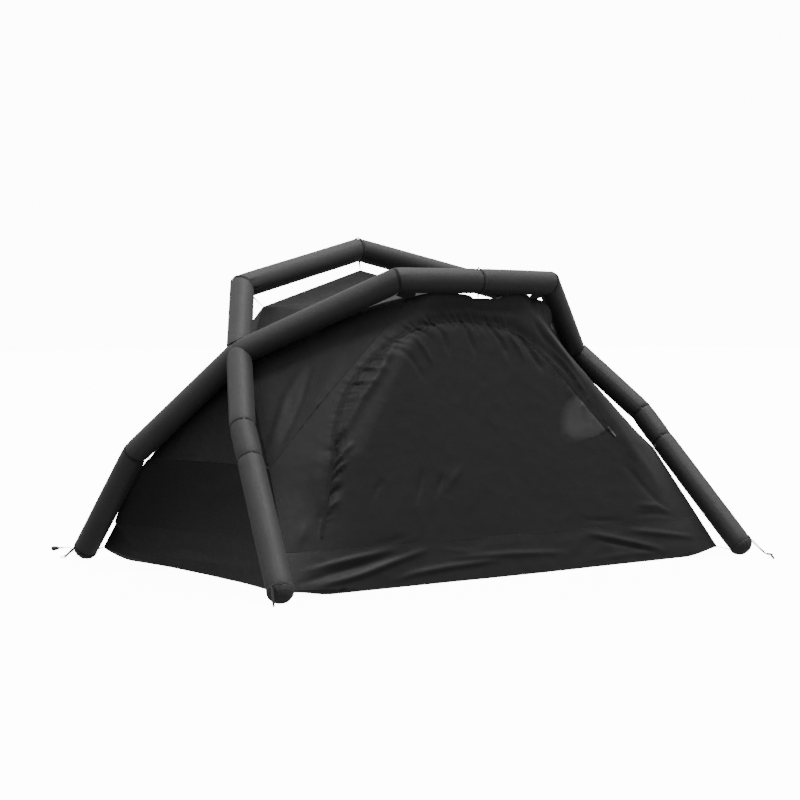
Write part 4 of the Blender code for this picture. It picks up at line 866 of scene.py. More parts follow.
def cap_shape(path, seed):
    """A gathered cap round a left leg's end, flat on the ground, with its cloth coordinates."""
    direction, side, top = path.frames[0]
    centre = path.corners[0]
    depths = [depth for depth, _ in CAP_PROFILE]
    shares = [share for _, share in CAP_PROFILE]
    points, uvs = [], []
    for number in range(CAP_STEPS + 1):
        depth = SEAM_GAP / 2.0 + (depths[-1] - CAP_SHORTFALL) * number / CAP_STEPS
        share = float(np.interp(depth, depths, shares))
        for step in range(CAP_SIDES):
            angle = math.tau * step / CAP_SIDES
            around = Vector((math.cos(angle), math.sin(angle), 0.0))
            pleat = math.sin(angle * CAP_PLEATS + 2.0 * noise.noise(around * 3.0 + Vector((0, 0, seed))))
            radius = BEAM_RADIUS * share * (1.0 + PLEAT_DEPTH * pleat * min(1.0, depth / PLEAT_REACH))
            radius -= CREASE_DEPTH * math.exp(-(depth / CREASE_REACH) ** 2)
            bulge = CAP_BULGE * noise.noise(around * 2.0 + Vector((0.0, 0.0, depth * 40.0 + seed)))
            out = side * math.cos(angle) + top * math.sin(angle)
            place = centre - direction * depth + out * (radius + bulge)
            place.z = max(place.z, SKIN_CLEARANCE)
            points.append(place)
            uvs.append((angle * BEAM_RADIUS, depth))
    hub = centre - direction * (depths[-1] - HUB_DEPTH)
    hub.z = max(hub.z, HUB_CLEARANCE)
    points.append(hub)
    uvs.append((0.0, 0.06))
    faces = grid_faces(CAP_STEPS + 1, CAP_SIDES, wrapped=True)
    last = CAP_STEPS * CAP_SIDES
    faces += [(last + k, last + (k + 1) % CAP_SIDES, len(points) - 1) for k in range(CAP_SIDES)]
    return (points, faces), uvs


def build_feet():
    for label, path, node in (
            ("rear_foot", FRONT_ARCH, "foot_cap_back"), ("front_foot", BACK_ARCH, "foot_cap_front")):
        for side, seed in (("left", 3.0), ("right", 8.0)):
            shape, uvs = cap_shape(path, seed)
            add_on_side(side, f"{label}_cap_{side}", shape, "beam", replaced=(f"{node}_{side}",), uvs=uvs,
                        thickness=BEAM_CLOTH_THICKNESS)


# Cabin surfaces, as arrays of rows by columns by three

def vec(*values):
    return np.array(values, float)


def tied_corner(point, tie):
    way = np.array(tie[0]) / np.linalg.norm(tie[0])
    return np.array(point) + way * (BEAM_RADIUS + tie[1])


def cabin_corners():
    corners = {
        "crossing": tied_corner(CROSSING, CROSSING_TIE),
        "roof_front": tied_corner(FRONT_CORNER, ROOF_FRONT_TIE),
        "roof_back": tied_corner(BACK_CORNER, ROOF_BACK_TIE),
        "ridge_front": tied_corner(FRONT_MIDDLE, RIDGE_FRONT_TIE),
        "ridge_back": tied_corner(BACK_APEX, RIDGE_BACK_TIE),
        "front_leg": tied_corner(FRONT_LEG_LOW_SEAM, FRONT_LEG_TIE),
        "back_leg": tied_corner(BACK_LEG_BEND, BACK_LEG_TIE),
        "front_foot": tied_corner(FRONT_FOOT, FRONT_FOOT_TIE),
        "back_foot": tied_corner(BACK_FOOT, BACK_FOOT_TIE),
    }
    for foot, leg, name in (("front_foot", "front_leg", "front_tub"), ("back_foot", "back_leg", "back_tub")):
        rise = (TUB_HEIGHT - corners[foot][2]) / (corners[leg][2] - corners[foot][2])
        corners[name] = corners[foot] + (corners[leg] - corners[foot]) * rise
    return corners


CORNERS = cabin_corners()
MIRROR = vec(-1.0, 1.0, 1.0)


def run(start, end, steps, draw=(0.0, 0.0, 0.0)):
    share = np.linspace(0.0, 1.0, steps + 1)[:, None]
    return start + (end - start) * share + np.array(draw) * (4.0 * share * (1.0 - share))


def ground_run(start, end, steps, draw):
    """A bottom edge: curved in plan, lying near the ground between its raised ends."""
    points = run(start, end, steps, draw)
    share = np.abs(np.linspace(-1.0, 1.0, steps + 1)) ** 3
    level = np.linspace(start[2], end[2], steps + 1)
    points[:, 2] = EDGE_REST_HEIGHT + (level - EDGE_REST_HEIGHT) * share
    return points


def crowned(share, across, hollow):
    """A hollow in the middle of a panel, which fades to nothing at its edges."""
    return np.array(hollow) * (16.0 * share * (1.0 - share) * across * (1.0 - across))


def loft(low, high, steps, hollow=(0.0, 0.0, 0.0)):
    """Rows of points from a low edge to a high one."""
    share = np.linspace(0.0, 1.0, steps + 1)[:, None, None]
    across = np.linspace(0.0, 1.0, len(low))[None, :, None]
    return low[None] + (high - low)[None] * share + crowned(share, across, hollow)


def gusset(base, left_edge, right_edge, hollow):
    """A triangle of cloth: rows that shrink from its base to its tip."""
    share = np.linspace(0.0, 1.0, len(left_edge))[:, None, None]
    across = np.linspace(0.0, 1.0, len(base))[None, :, None]
    straight = left_edge[:, None] + (right_edge - left_edge)[:, None] * across
    shape = base - (base[0] + (base[-1] - base[0]) * across[0])
    return straight + shape[None] * (1.0 - share) ** 2 + crowned(share, across, hollow)


def joined(*runs):
    """Edges laid end to end, without the shared points."""
    return np.concatenate([runs[0]] + [more[1:] for more in runs[1:]])


class Wall:
    """A front or back wall, as the height and depth of its cloth over its width."""

    def __init__(self, edge, base_y, top, flat_share, straighten):
        self.edge = edge
        self.levels = np.linspace(0.0, 1.0, len(edge))
        self.base_y = base_y
        self.top = top
        self.lean = (top[1] - base_y) / (top[2] - TUB_HEIGHT)
        self.flat_share = flat_share
        self.straighten = straighten

    def corner(self, level):
        return [np.interp(level, self.levels, self.edge[:, axis]) for axis in range(3)]

    def plane(self, height):
        return self.base_y + (height - TUB_HEIGHT) * self.lean

    def height(self, share, level):
        middle = TUB_HEIGHT + (self.top[2] - TUB_HEIGHT) * level
        return middle + (self.corner(level)[2] - middle) * share

    def depth(self, share, level, height):
        bend = 1.0 - self.straighten * level ** 2
        flat = self.flat_share * bend
        turned = np.maximum(0.0, (share - flat) / (1.0 - flat)) ** (1.0 + (WALL_TURN - 1.0) * bend)
        _, corner_y, corner_z = self.corner(level)
        return self.plane(height) + (corner_y - self.plane(corner_z)) * turned

    def grid(self, wide):
        level = self.levels[:, None]
        across = np.linspace(-1.0, 1.0, wide + 1)[None]
        share = np.abs(across) + level * 0.0
        level = level + across * 0.0
        height = self.height(share, level)
        return np.stack([across * self.corner(level)[0], self.depth(share, level, height), height], axis=-1)

    def at(self, x, z):
        """Depth of the wall's cloth at a place given by x and z."""
        low, high = np.zeros_like(x), np.ones_like(x)
        for _ in range(26):
            middle = (low + high) / 2.0
            share = np.clip(np.abs(x) / self.corner(middle)[0], 0.0, 1.0)
            below = self.height(share, middle) < z
            low, high = np.where(below, middle, low), np.where(below, high, middle)
        share = np.clip(np.abs(x) / self.corner(low)[0], 0.0, 1.0)
        return self.depth(share, low, self.height(share, low))


FRONT_EDGE = joined(
    run(CORNERS["front_tub"], CORNERS["front_leg"], RISE_STEPS),
    run(CORNERS["front_leg"], CORNERS["roof_front"], RISE_STEPS, WALL_EDGE_BOW))
BACK_EDGE = joined(
    run(CORNERS["back_tub"], CORNERS["back_leg"], RISE_STEPS),
    run(CORNERS["back_leg"], CORNERS["roof_back"], RISE_STEPS))
FRONT_WALL = Wall(
    FRONT_EDGE, CORNERS["ridge_front"][1] - FRONT_WALL_LEAN * (CORNERS["ridge_front"][2] - TUB_HEIGHT),
    CORNERS["ridge_front"], FRONT_FLAT_SHARE, 0.0)
BACK_WALL = Wall(
    BACK_EDGE, CORNERS["back_tub"][1] - BACK_EDGE_DRAW, CORNERS["ridge_back"], BACK_FLAT_SHARE, 1.0)


def cabin_surfaces():
    """Every cloth panel of the cabin, as a grid of points seen from outside."""
    sides = {"right": CORNERS, "left": {name: point * MIRROR for name, point in CORNERS.items()}}
    left_side, right_side = sides["left"], sides["right"]
    front_rows = FRONT_WALL.grid(WIDE_STEPS)
    back_rows = BACK_WALL.grid(WIDE_STEPS)
    front_bottom = ground_run(
        left_side["front_foot"], right_side["front_foot"], WIDE_STEPS, (0.0, -FRONT_EDGE_BOW, 0.0))
    back_bottom = ground_run(
        left_side["back_foot"], right_side["back_foot"], WIDE_STEPS, (0.0, -BACK_EDGE_DRAW, 0.0))
    surfaces = {
        "front_rows": front_rows,
        "back_wall": back_rows[:, ::-1],
        "tub_wall_front": loft(front_bottom, front_rows[0], TUB_STEPS),
        "tub_wall_back": loft(back_bottom, back_rows[0], TUB_STEPS)[:, ::-1],
    }
    bottoms = {}
    for name, side in sides.items():
        outward = vec(1.0 if name == "right" else -1.0, 1.0, 1.0)
        draw = (-outward[0] * SIDE_EDGE_DRAW, 0.0, 0.0)
        hollow = (-outward[0] * SIDE_HOLLOW, 0.0, 0.0)
        bottoms[name] = ground_run(side["front_foot"], side["back_foot"], DEEP_STEPS, draw)
        tub_top = run(side["front_tub"], side["back_tub"], DEEP_STEPS, draw)
        seam = run(side["front_leg"], side["back_leg"], DEEP_STEPS, (-outward[0] * SIDE_SEAM_DRAW, 0.0, 0.0))
        front_rise = run(side["front_leg"], side["crossing"], RISE_STEPS)
        back_rise = run(side["back_leg"], side["crossing"], RISE_STEPS, outward * BACK_RISE_BOW)
        wall_top = run(side["front_leg"], side["roof_front"], RISE_STEPS, outward * WALL_EDGE_BOW)
        roof_rise = run(side["roof_front"], side["crossing"], RISE_STEPS, outward * ROOF_EDGE_BOW)
        back_top = run(side["back_leg"], side["roof_back"], RISE_STEPS)
        back_roof_rise = run(side["crossing"], side["roof_back"], RISE_STEPS)[::-1]
        inward = vec(0.0, 0.0, CABIN_HEART) - side["crossing"]
        inward = inward / np.linalg.norm(inward) * SHOULDER_HOLLOW
        panels = {
            "tub_wall": loft(bottoms[name], tub_top, TUB_STEPS),
            "side_wall": loft(tub_top, seam, RISE_STEPS, hollow),
            "side_peak": gusset(seam, front_rise, back_rise, hollow),
            "front_shoulder": gusset(wall_top, front_rise, roof_rise, inward),
            "back_shoulder": gusset(back_top, back_rise, back_roof_rise, inward),
        }
        for key, rows in panels.items():
            turned_side = "right" if key == "front_shoulder" else "left"
            surfaces[f"{key}_{name}"] = rows[:, ::-1] if name == turned_side else rows
    surfaces["roof_panel"] = roof_grid(left_side, right_side, front_rows[-1], back_rows[-1])
    surfaces["groundsheet"] = floor_grid(front_bottom, back_bottom, bottoms)
    return surfaces


def roof_grid(left_side, right_side, front_top, back_top):
    bow = vec(*ROOF_EDGE_BOW)
    front = joined(
        run(left_side["crossing"], left_side["roof_front"], RISE_STEPS, bow * MIRROR), front_top,
        run(right_side["roof_front"], right_side["crossing"], RISE_STEPS, bow))
    back = joined(
        run(left_side["crossing"], left_side["roof_back"], RISE_STEPS), back_top,
        run(right_side["roof_back"], right_side["crossing"], RISE_STEPS))
    share = np.linspace(0.0, 1.0, RISE_STEPS + 1)[:, None, None]
    rows = front[None] + (back - front)[None] * share
    deep = share[:, :, 0]
    arched = np.sqrt(np.sin(math.pi * np.linspace(0.0, 1.0, len(front))[None]).clip(0.0))
    rows[:, :, 2] -= ROOF_SAG * 4.0 * deep * (1.0 - deep) * arched
    return rows


def floor_grid(front_bottom, back_bottom, bottoms):
    share = np.linspace(0.0, 1.0, DEEP_STEPS + 1)[:, None, None]
    across = np.linspace(0.0, 1.0, WIDE_STEPS + 1)[None, :, None]
    ends = bottoms["left"][:, None] + (bottoms["right"] - bottoms["left"])[:, None] * across
    sides = front_bottom[None] + (back_bottom - front_bottom)[None] * share
    near = front_bottom[0] + (front_bottom[-1] - front_bottom[0]) * across
    far = back_bottom[0] + (back_bottom[-1] - back_bottom[0]) * across
    rows = ends + sides - (near + (far - near) * share)
    foot = CORNERS["front_foot"]
    corner = np.stack(np.broadcast_arrays(
        np.where(across[..., 0] < 0.5, -foot[0], foot[0]),
        np.where(share[..., 0] < 0.5, foot[1], CORNERS["back_foot"][1])), axis=-1)
    away = np.linalg.norm(rows[..., :2] - corner, axis=-1)
    lifted = foot[2] * np.maximum(0.0, 1.0 - away / FLOOR_LIFT_REACH) ** 2
    border = np.zeros(lifted.shape, bool)
    border[[0, -1]] = True
    border[:, [0, -1]] = True
    rows[..., 2] = np.where(border, rows[..., 2], np.maximum(lifted, FLOOR_REST_HEIGHT))
    return rows[:, ::-1]


# Folds in the cloth

def line_distance(places, line):
    """Distance from places to a line, how far along it the nearest point lies, and its length."""
    line = np.array([tuple(point) for point in line], float)
    travelled = np.concatenate([[0.0], np.cumsum(np.linalg.norm(np.diff(line, axis=0), axis=1))])
    best = np.full(len(places), np.inf)
    along = np.zeros(len(places))
    for number in range(len(line) - 1):
        start, way = line[number], line[number + 1] - line[number]
        share = np.clip(((places - start) @ way) / (way @ way), 0.0, 1.0)
        away = np.linalg.norm(places - start - share[:, None] * way, axis=1)
        closer = away < best
        best = np.where(closer, away, best)
        along = np.where(closer, travelled[number] + share * np.linalg.norm(way), along)
    return best, along, travelled[-1]


def distance_to(places, line):
    return line_distance(places, line)[0]


def fold_height(places, folds):
    """Height of soft folds, each given by the line of its crest, its width and its height."""
    total = np.zeros(len(places))
    for line, width, height in folds:
        away, along, length = line_distance(places, line)
        fade = np.sin(math.pi * np.clip(along / length, 0.02, 0.98)) ** 0.5
        total += height * fade * np.exp(-(away / width) ** 2)
    return total


def cloth_noise(places, scale, seed):
    shift = Vector((seed * 3.7, seed * 1.3, seed * 7.9))
    return np.array([noise.noise(Vector(place) + shift) for place in places * scale])


def creased(values):
    """Turn smooth noise into noise with soft ridges, as crumpled cloth has."""
    return 1.0 - 2.0 * np.abs(values)


def border_fade(rows, reach):
    """0 on the border of a grid of points and 1 further in than a reach."""
    flat = rows.reshape(-1, 3)
    ring = np.concatenate([rows[0], rows[-1], rows[:, 0], rows[:, -1]])[::3]
    nearest = np.full(len(flat), np.inf)
    for start in range(0, len(ring), FADE_BATCH):
        away = np.linalg.norm(flat[:, None] - ring[None, start:start + FADE_BATCH], axis=2).min(1)
        nearest = np.minimum(nearest, away)
    return np.clip(nearest / reach, 0.0, 1.0) ** 0.8


# From the right front edge to the line behind it, where the cloth hangs slack
BEHIND_EDGE = vec(0.015, 0.050, 0.014)
# How the cloth settles: a line, how far the move reaches from it, how steeply it ends, how evenly it runs
# along the line, and the move itself
SETTLED = (
    ((CORNERS["roof_front"] + BEHIND_EDGE, CORNERS["front_leg"] + BEHIND_EDGE), 0.140, 3.0, 1.0,
     (-0.042, 0.009, -0.020)),
    ((CORNERS["roof_front"], CORNERS["roof_front"] * 0.58 + CORNERS["crossing"] * 0.42), 0.045, 2.0, 0.6,
     (0.060, -0.026, 0.014)),
    ((CORNERS["roof_front"] * MIRROR, (CORNERS["roof_front"] * 0.45 + CORNERS["crossing"] * 0.55) * MIRROR),
     0.040, 2.0, 0.5, (-0.010, -0.002, 0.016)),
    (((-0.300, -0.400, 1.074), (-0.030, -0.402, 1.074)), 0.040, 2.0, 0.35, (0.0, 0.0, 0.020)),
    (((0.120, -0.402, 1.074), (0.300, -0.400, 1.074)), 0.040, 2.0, 0.35, (0.0, 0.0, 0.020)),
    ((CORNERS["back_leg"], CORNERS["back_tub"]), 0.070, 2.0, 0.35, (0.022, -0.004, 0.0)),
    ((CORNERS["back_leg"] * MIRROR, CORNERS["back_tub"] * MIRROR), 0.070, 2.0, 0.35, (-0.022, -0.004, 0.0)),
)


def settle(points):
    """The cloth as it hangs: slack beside the right front edge, taut below the front beam."""
    points = np.asarray(points, float)
    flat = points.reshape(-1, 3)
    moved = flat.copy()
    for line, reach, steepness, evenness, move in SETTLED:
        away, along, length = line_distance(flat, line)
        share = along / length
        weight = (4.0 * share * (1.0 - share)).clip(0.0) ** evenness * np.exp(-(away / reach) ** steepness)
        moved += weight[:, None] * np.array(move)
    return moved.reshape(points.shape)


def grid_normals(rows):
    down = np.gradient(rows, axis=0)
    across = np.gradient(rows, axis=1)
    normal = np.cross(across, down)
    length = np.linalg.norm(normal, axis=2, keepdims=True)
    return normal / np.maximum(length, 1e-12)


def cloth_lengths(rows):
    """Cloth coordinates in metres along the rows and columns of a grid."""
    across = np.concatenate([np.zeros((rows.shape[0], 1)), np.cumsum(
        np.linalg.norm(np.diff(rows, axis=1), axis=2), axis=1)], axis=1)
    across -= across[:, -1:] / 2.0
    down = np.concatenate([np.zeros((1, rows.shape[1])), np.cumsum(
        np.linalg.norm(np.diff(rows, axis=0), axis=2), axis=0)], axis=0)
    return np.stack([across, down], axis=-1).reshape(-1, 2)


def cloth_panel(rows, folds=(), rumple=0.0016, seed=1, reach=0.05, floor=None):
    """Points, faces and cloth coordinates of a panel with soft folds, flat on its seams."""
    flat = rows.reshape(-1, 3)
    height = fold_height(flat, folds)
    height += rumple * cloth_noise(flat, 6.0, seed)
    height += rumple * 0.7 * creased(cloth_noise(flat, 13.0, seed + 2.0))
    moved = flat + grid_normals(rows).reshape(-1, 3) * (height * border_fade(rows, reach))[:, None]
    if floor is not None:
        moved[:, 2] = np.maximum(moved[:, 2], floor)
    return settle(moved), grid_faces(*rows.shape[:2]), cloth_lengths(rows)


def add_cloth(name, kind, node, panels):
    """One piece of cloth from one or more panels that meet on shared seams."""
    points, faces, uvs = [], [], []
    for moved, more, cloth in panels:
        start = len(points)
        points.extend(moved)
        faces.extend(tuple(index + start for index in face) for face in more)
        uvs.extend(cloth)
    piece = add_piece(name, points, faces, kind, replaced=(node,), uvs=uvs)
    weld(piece, 0.00005, sliver=0.00001)
    thicken(piece, CLOTH_THICKNESS)


def on_side(folds, mirror):
    """Folds of the right side, put on the left by -1 or on the right by 1."""
    return [([(mirror * x, y, z) for x, y, z in line], width, height) for line, width, height in folds]


def build_panels():
    surfaces = cabin_surfaces()
    for number, (side, mirror) in enumerate((("left", -1.0), ("right", 1.0))):
        folds = on_side(SIDE_FOLDS, mirror)
        walls = [cloth_panel(surfaces[f"{part}_{side}"], folds, rumple=0.0022, seed=11 + number)
                 for part in ("side_wall", "side_peak")]
        add_cloth(f"side_cloth_{side}", "cabin", f"side_wall_{side}", walls)
        shoulder = cloth_panel(surfaces[f"front_shoulder_{side}"], on_side(SHOULDER_FOLDS, mirror),
                               rumple=0.0020, seed=15 + number, reach=0.04)
        add_cloth(f"shoulder_cloth_{side}", "cabin", f"front_shoulder_{side}", [shoulder])
    back = [
        cloth_panel(surfaces["back_wall"], BACK_FOLDS, rumple=0.0024, seed=21),
        cloth_panel(surfaces["back_shoulder_left"], seed=22),
        cloth_panel(surfaces["back_shoulder_right"], seed=23),
    ]
    add_cloth("back_cloth", "cabin", "back_wall", back)
    folds = on_side(ROOF_FOLDS, -1.0) + on_side(ROOF_FOLDS, 1.0)
    roof = cloth_panel(surfaces["roof_panel"], folds, rumple=0.0022, seed=25)
    add_cloth("roof_cloth", "cabin", "roof_panel", [roof])
    tub = [cloth_panel(surfaces["groundsheet"], rumple=0.0008, seed=31, floor=0.0014)]
    skirts = {"front": SKIRT_FOLDS, "back": (), "left": on_side(SIDE_SKIRT_FOLDS, -1.0),
              "right": on_side(SIDE_SKIRT_FOLDS, 1.0)}
    for side, folds in skirts.items():
        tub.append(cloth_panel(surfaces[f"tub_wall_{side}"], folds, rumple=0.0022, seed=33, reach=0.03,
                               floor=0.0012))
    add_cloth("tub_cloth_floor", "tub", "tub_floor", tub)
    return surfaces


SIDE_FOLDS = (
    (((1.105, 0.31, 0.452), (1.03, 0.18, 0.452), (0.985, 0.04, 0.447)), 0.010, -0.007),
    (((0.95, -0.40, 0.45), (0.98, 0.10, 0.30)), 0.035, 0.006),
    (((0.98, 0.36, 0.44), (0.99, -0.05, 0.26)), 0.030, 0.006),
    (((0.84, 0.02, 0.80), (0.92, -0.10, 0.52)), 0.022, 0.005),
    (((0.84, 0.02, 0.80), (0.92, 0.14, 0.52)), 0.022, 0.005),
)


SHOULDER_FOLDS = (
    (((0.715, -0.216, 0.792), (0.802, -0.245, 0.692), (0.897, -0.317, 0.562),
      (0.939, -0.336, 0.508)), 0.020, 0.009),
    (((0.690, -0.241, 0.804), (0.776, -0.304, 0.685), (0.835, -0.336, 0.613),
      (0.886, -0.356, 0.552), (0.922, -0.385, 0.499)), 0.010, -0.007),
    (((0.617, -0.319, 0.831), (0.769, -0.388, 0.651), (0.865, -0.433, 0.507)),
     0.035, 0.007),
)


BACK_FOLDS = (
    (((0.60, 0.40, 1.00), (0.35, 0.55, 0.70), (0.20, 0.62, 0.40)), 0.030, 0.008),
    (((-0.60, 0.40, 1.00), (-0.38, 0.55, 0.72), (-0.26, 0.62, 0.45)), 0.030, 0.008),
    (((1.05, 0.45, 0.42), (0.80, 0.58, 0.34), (0.55, 0.64, 0.28)), 0.026, 0.008),
    (((-1.05, 0.45, 0.42), (-0.82, 0.58, 0.36), (-0.58, 0.64, 0.30)), 0.026, 0.008),
    (((0.0, 0.46, 1.15), (0.05, 0.55, 0.85), (-0.02, 0.62, 0.50)), 0.022, 0.006),
)


ROOF_FOLDS = (
    (((0.44, -0.30, 1.06), (0.30, -0.12, 1.06), (0.16, 0.05, 1.08)), 0.018, 0.006),
    (((0.62, 0.20, 1.03), (0.45, 0.10, 1.03), (0.25, 0.05, 1.06)), 0.020, 0.006),
    (((0.80, 0.00, 0.83), (0.66, 0.02, 0.92), (0.52, 0.00, 0.99)), 0.020, 0.007),
)


SKIRT_FOLDS = (
    (((-1.022, -0.674, 0.050), (-0.891, -0.669, 0.074), (-0.759, -0.669, 0.093), (-0.595, -0.665, 0.124)),
     0.011, -0.007),
    (((-0.980, -0.659, 0.092), (-0.841, -0.660, 0.112), (-0.731, -0.661, 0.126), (-0.600, -0.660, 0.146)),
     0.010, 0.008),
    (((-0.960, -0.682, 0.030), (-0.766, -0.678, 0.061), (-0.627, -0.672, 0.093), (-0.464, -0.665, 0.127)),
     0.010, 0.010),
    (((-0.610, -0.684, 0.030), (-0.526, -0.684, 0.048), (-0.356, -0.682, 0.060), (-0.122, -0.681, 0.067)),
     0.010, 0.008),
    (((-0.322, -0.675, 0.090), (-0.05, -0.676, 0.085), (0.215, -0.680, 0.071)), 0.010, 0.006),
    (((-0.42, -0.675, 0.135), (-0.30, -0.676, 0.115), (-0.20, -0.680, 0.105)), 0.008, 0.005),
    (((0.356, -0.662, 0.137), (0.549, -0.674, 0.092), (0.753, -0.683, 0.044)), 0.012, 0.008),
    (((0.40, -0.670, 0.108), (0.58, -0.678, 0.070), (0.72, -0.683, 0.030)), 0.009, -0.006),
    (((0.586, -0.663, 0.134), (0.77, -0.664, 0.105), (0.949, -0.661, 0.078)), 0.011, 0.008),
    (((0.30, -0.680, 0.030), (0.55, -0.680, 0.038), (0.80, -0.680, 0.030)), 0.010, 0.005),
)


SIDE_SKIRT_FOLDS = (
    (((1.046, 0.548, 0.040), (1.006, 0.145, 0.045), (1.016, -0.369, 0.070)),
     0.018, 0.008),
    (((1.03, 0.50, 0.12), (1.00, 0.25, 0.09), (1.00, 0.05, 0.085)), 0.012, -0.006),
)


# Front wall, door and zip

def turned(way):
    return Vector((-way.y, way.x))


def beside(curve, distance):
    """A flat curve beside another one: positive distances lie outside the door."""
    return [point + turned(heading(curve, number)) * distance for number, point in enumerate(curve)]


def inside(places, outline):
    """Which flat places lie inside an outline."""
    x, z = places[:, 0], places[:, 1]
    result = np.zeros(len(places), bool)
    previous = outline[-1]
    for point in outline:
        crosses = (point[1] > z) != (previous[1] > z)
        slope = (previous[0] - point[0]) * (z - point[1]) / ((previous[1] - point[1]) or 1e-12) + point[0]
        result ^= crosses & (x < slope)
        previous = point
    return result


ZIP_CURVE = even_points(smooth_run(ZIP_PATH, 12), 0.006)
FOLD_START, FOLD_END = ZIP_CURVE[0], ZIP_CURVE[-1]


DOOR_HINGE_AXIS = (0.9723, 0.0625, 0.2248)
DOOR_BEND_REACH = 0.035


def door_bend():
    """Where the door's cloth starts and stops bending above its fold line."""
    ends = [Vector((point.x, float(FRONT_WALL.at(np.array([point.x]), np.array([point.y]))[0]), point.y))
            for point in (FOLD_START, FOLD_END)]
    axis = Vector(DOOR_HINGE_AXIS).normalized()
    normal = Vector((0.0, -1.0, FRONT_WALL.lean)).normalized()
    upward = axis.cross(normal)
    if upward.z < 0.0:
        upward.negate()
    start = min(ends, key=lambda end: end.dot(upward))
    return tuple(start), tuple(start + upward * DOOR_BEND_REACH)


DOOR_BEND = door_bend()


# Folds of the front cloth, as the line of the crest in x and z, the width and the height
WALL_FOLDS = (
    (((-0.811, 0.472), (-0.850, 0.400), (-0.872, 0.330)), 0.020, 0.005),
    (((-0.860, 0.300), (-0.884, 0.250), (-0.898, 0.205)), 0.010, -0.005),
    (((-0.930, 0.250), (-0.960, 0.205), (-0.990, 0.172)), 0.012, 0.005),
    (((0.311, 0.910), (0.400, 0.806), (0.480, 0.690)), 0.007, 0.008),
    (((0.290, 0.890), (0.360, 0.815), (0.425, 0.738)), 0.010, -0.007),
    (((0.30, 1.010), (0.355, 0.920), (0.420, 0.830), (0.450, 0.780)), 0.016, 0.010),
    (((0.27, 1.000), (0.320, 0.900), (0.385, 0.815), (0.430, 0.750)), 0.012, -0.007),
    (((0.60, 0.560), (0.70, 0.430), (0.82, 0.300)), 0.030, 0.006),
    (((-0.28, 1.025), (-0.05, 1.035), (0.18, 1.020)), 0.012, -0.006),
    (((0.62, 0.40), (0.72, 0.29), (0.84, 0.185)), 0.016, -0.005),
    (((0.653, 0.230), (0.767, 0.220), (0.860, 0.180)), 0.009, 0.006),
    (((0.630, 0.192), (0.730, 0.190), (0.860, 0.172)), 0.008, -0.006),
    (((-0.557, 0.178), (-0.620, 0.166), (-0.690, 0.160)), 0.009, -0.007),
    (((-0.480, 0.180), (-0.55, 0.162), (-0.60, 0.160)), 0.006, 0.004),
    (((0.353, 0.186), (0.450, 0.178), (0.562, 0.171)), 0.008, -0.006),
)
DOOR_FOLDS = (
    (((-0.715, 0.560), (-0.760, 0.520), (-0.800, 0.455)), 0.010, -0.016),
    (((-0.700, 0.530), (-0.745, 0.495), (-0.805, 0.430)), 0.006, 0.012),
    (((-0.735, 0.470), (-0.775, 0.435), (-0.815, 0.392)), 0.006, 0.010),
    (((-0.760, 0.440), (-0.790, 0.415), (-0.818, 0.380)), 0.006, -0.006),
    (((-0.770, 0.380), (-0.815, 0.350), (-0.840, 0.318)), 0.009, -0.010),
    (((-0.790, 0.330), (-0.835, 0.305), (-0.855, 0.275)), 0.008, 0.007),
    (((-0.600, 0.390), (-0.640, 0.360), (-0.665, 0.320)), 0.010, -0.003),
    (((-0.409, 0.420), (-0.44, 0.354), (-0.482, 0.269)), 0.012, -0.006),
    (((-0.322, 0.400), (-0.36, 0.330), (-0.400, 0.285)), 0.010, -0.007),
    (((-0.230, 0.420), (-0.29, 0.360), (-0.33, 0.320)), 0.014, 0.005),
    (((-0.100, 0.985), (-0.075, 0.925), (-0.06, 0.860)), 0.009, -0.008),
    (((0.04, 0.965), (0.085, 0.905), (0.10, 0.850)), 0.011, -0.010),
    (((0.12, 0.945), (0.165, 0.880), (0.180, 0.830)), 0.010, 0.007),
    (((0.195, 0.915), (0.235, 0.850), (0.27, 0.790)), 0.012, -0.011),
    (((-0.22, 0.975), (-0.20, 0.920), (-0.19, 0.850)), 0.009, -0.006),
    (((-0.35, 0.930), (-0.31, 0.880), (-0.28, 0.820)), 0.010, 0.006),
    (((-0.43, 0.890), (-0.37, 0.830), (-0.33, 0.760)), 0.010, -0.004),
)
LAP_CREST = (
    (-0.425, 0.915), (-0.470, 0.850), (-0.525, 0.780), (-0.615, 0.690), (-0.672, 0.620), (-0.722, 0.570),
)
LAP_HEIGHT = 0.017
LAP_FALL = 0.012
# The stretch of the door's cloth beside the zip that has a painted highlight (a brighter base colour), in x
# and z, and its raised edge
HIGHLIGHT_PATCH_OUTLINE = (
    (0.436, 0.680), (0.480, 0.629), (0.520, 0.582), (0.553, 0.542), (0.530, 0.530),
    (0.490, 0.517), (0.440, 0.508), (0.385, 0.500), (0.345, 0.508), (0.325, 0.535),
    (0.325, 0.570), (0.342, 0.612), (0.372, 0.650), (0.405, 0.672),
)
HIGHLIGHT_PATCH_EDGE = HIGHLIGHT_PATCH_OUTLINE[:4] + ((0.520, 0.526), (0.470, 0.512), (0.400, 0.502))
HIGHLIGHT_PATCH_RISE = 0.007
HIGHLIGHT_PATCH_RISE_INSIDE = 0.080
HIGHLIGHT_PATCH_RISE_OUTSIDE = 0.035

# Puckers beside the zip: how strong they are at distances along it, and their size, reach and slant
ZIP_GATHER = (
    (0.0, 0.25), (0.20, 0.35), (0.35, 0.5), (0.50, 0.6), (0.70, 1.6), (0.90, 1.1), (1.05, 1.7), (1.20, 0.9),
    (1.50, 1.1), (1.75, 1.0), (1.90, 1.7), (2.10, 2.1), (2.25, 1.4), (2.36, 0.35), (2.75, 0.25),
)
DOOR_PUCKERS = {"size": 0.0052, "reach": 0.013, "slant": -0.9, "seed": 3.0}
WALL_PUCKERS = {"size": 0.0034, "reach": 0.010, "slant": 0.55, "seed": 9.0}
PUCKER_LIMIT = 0.12

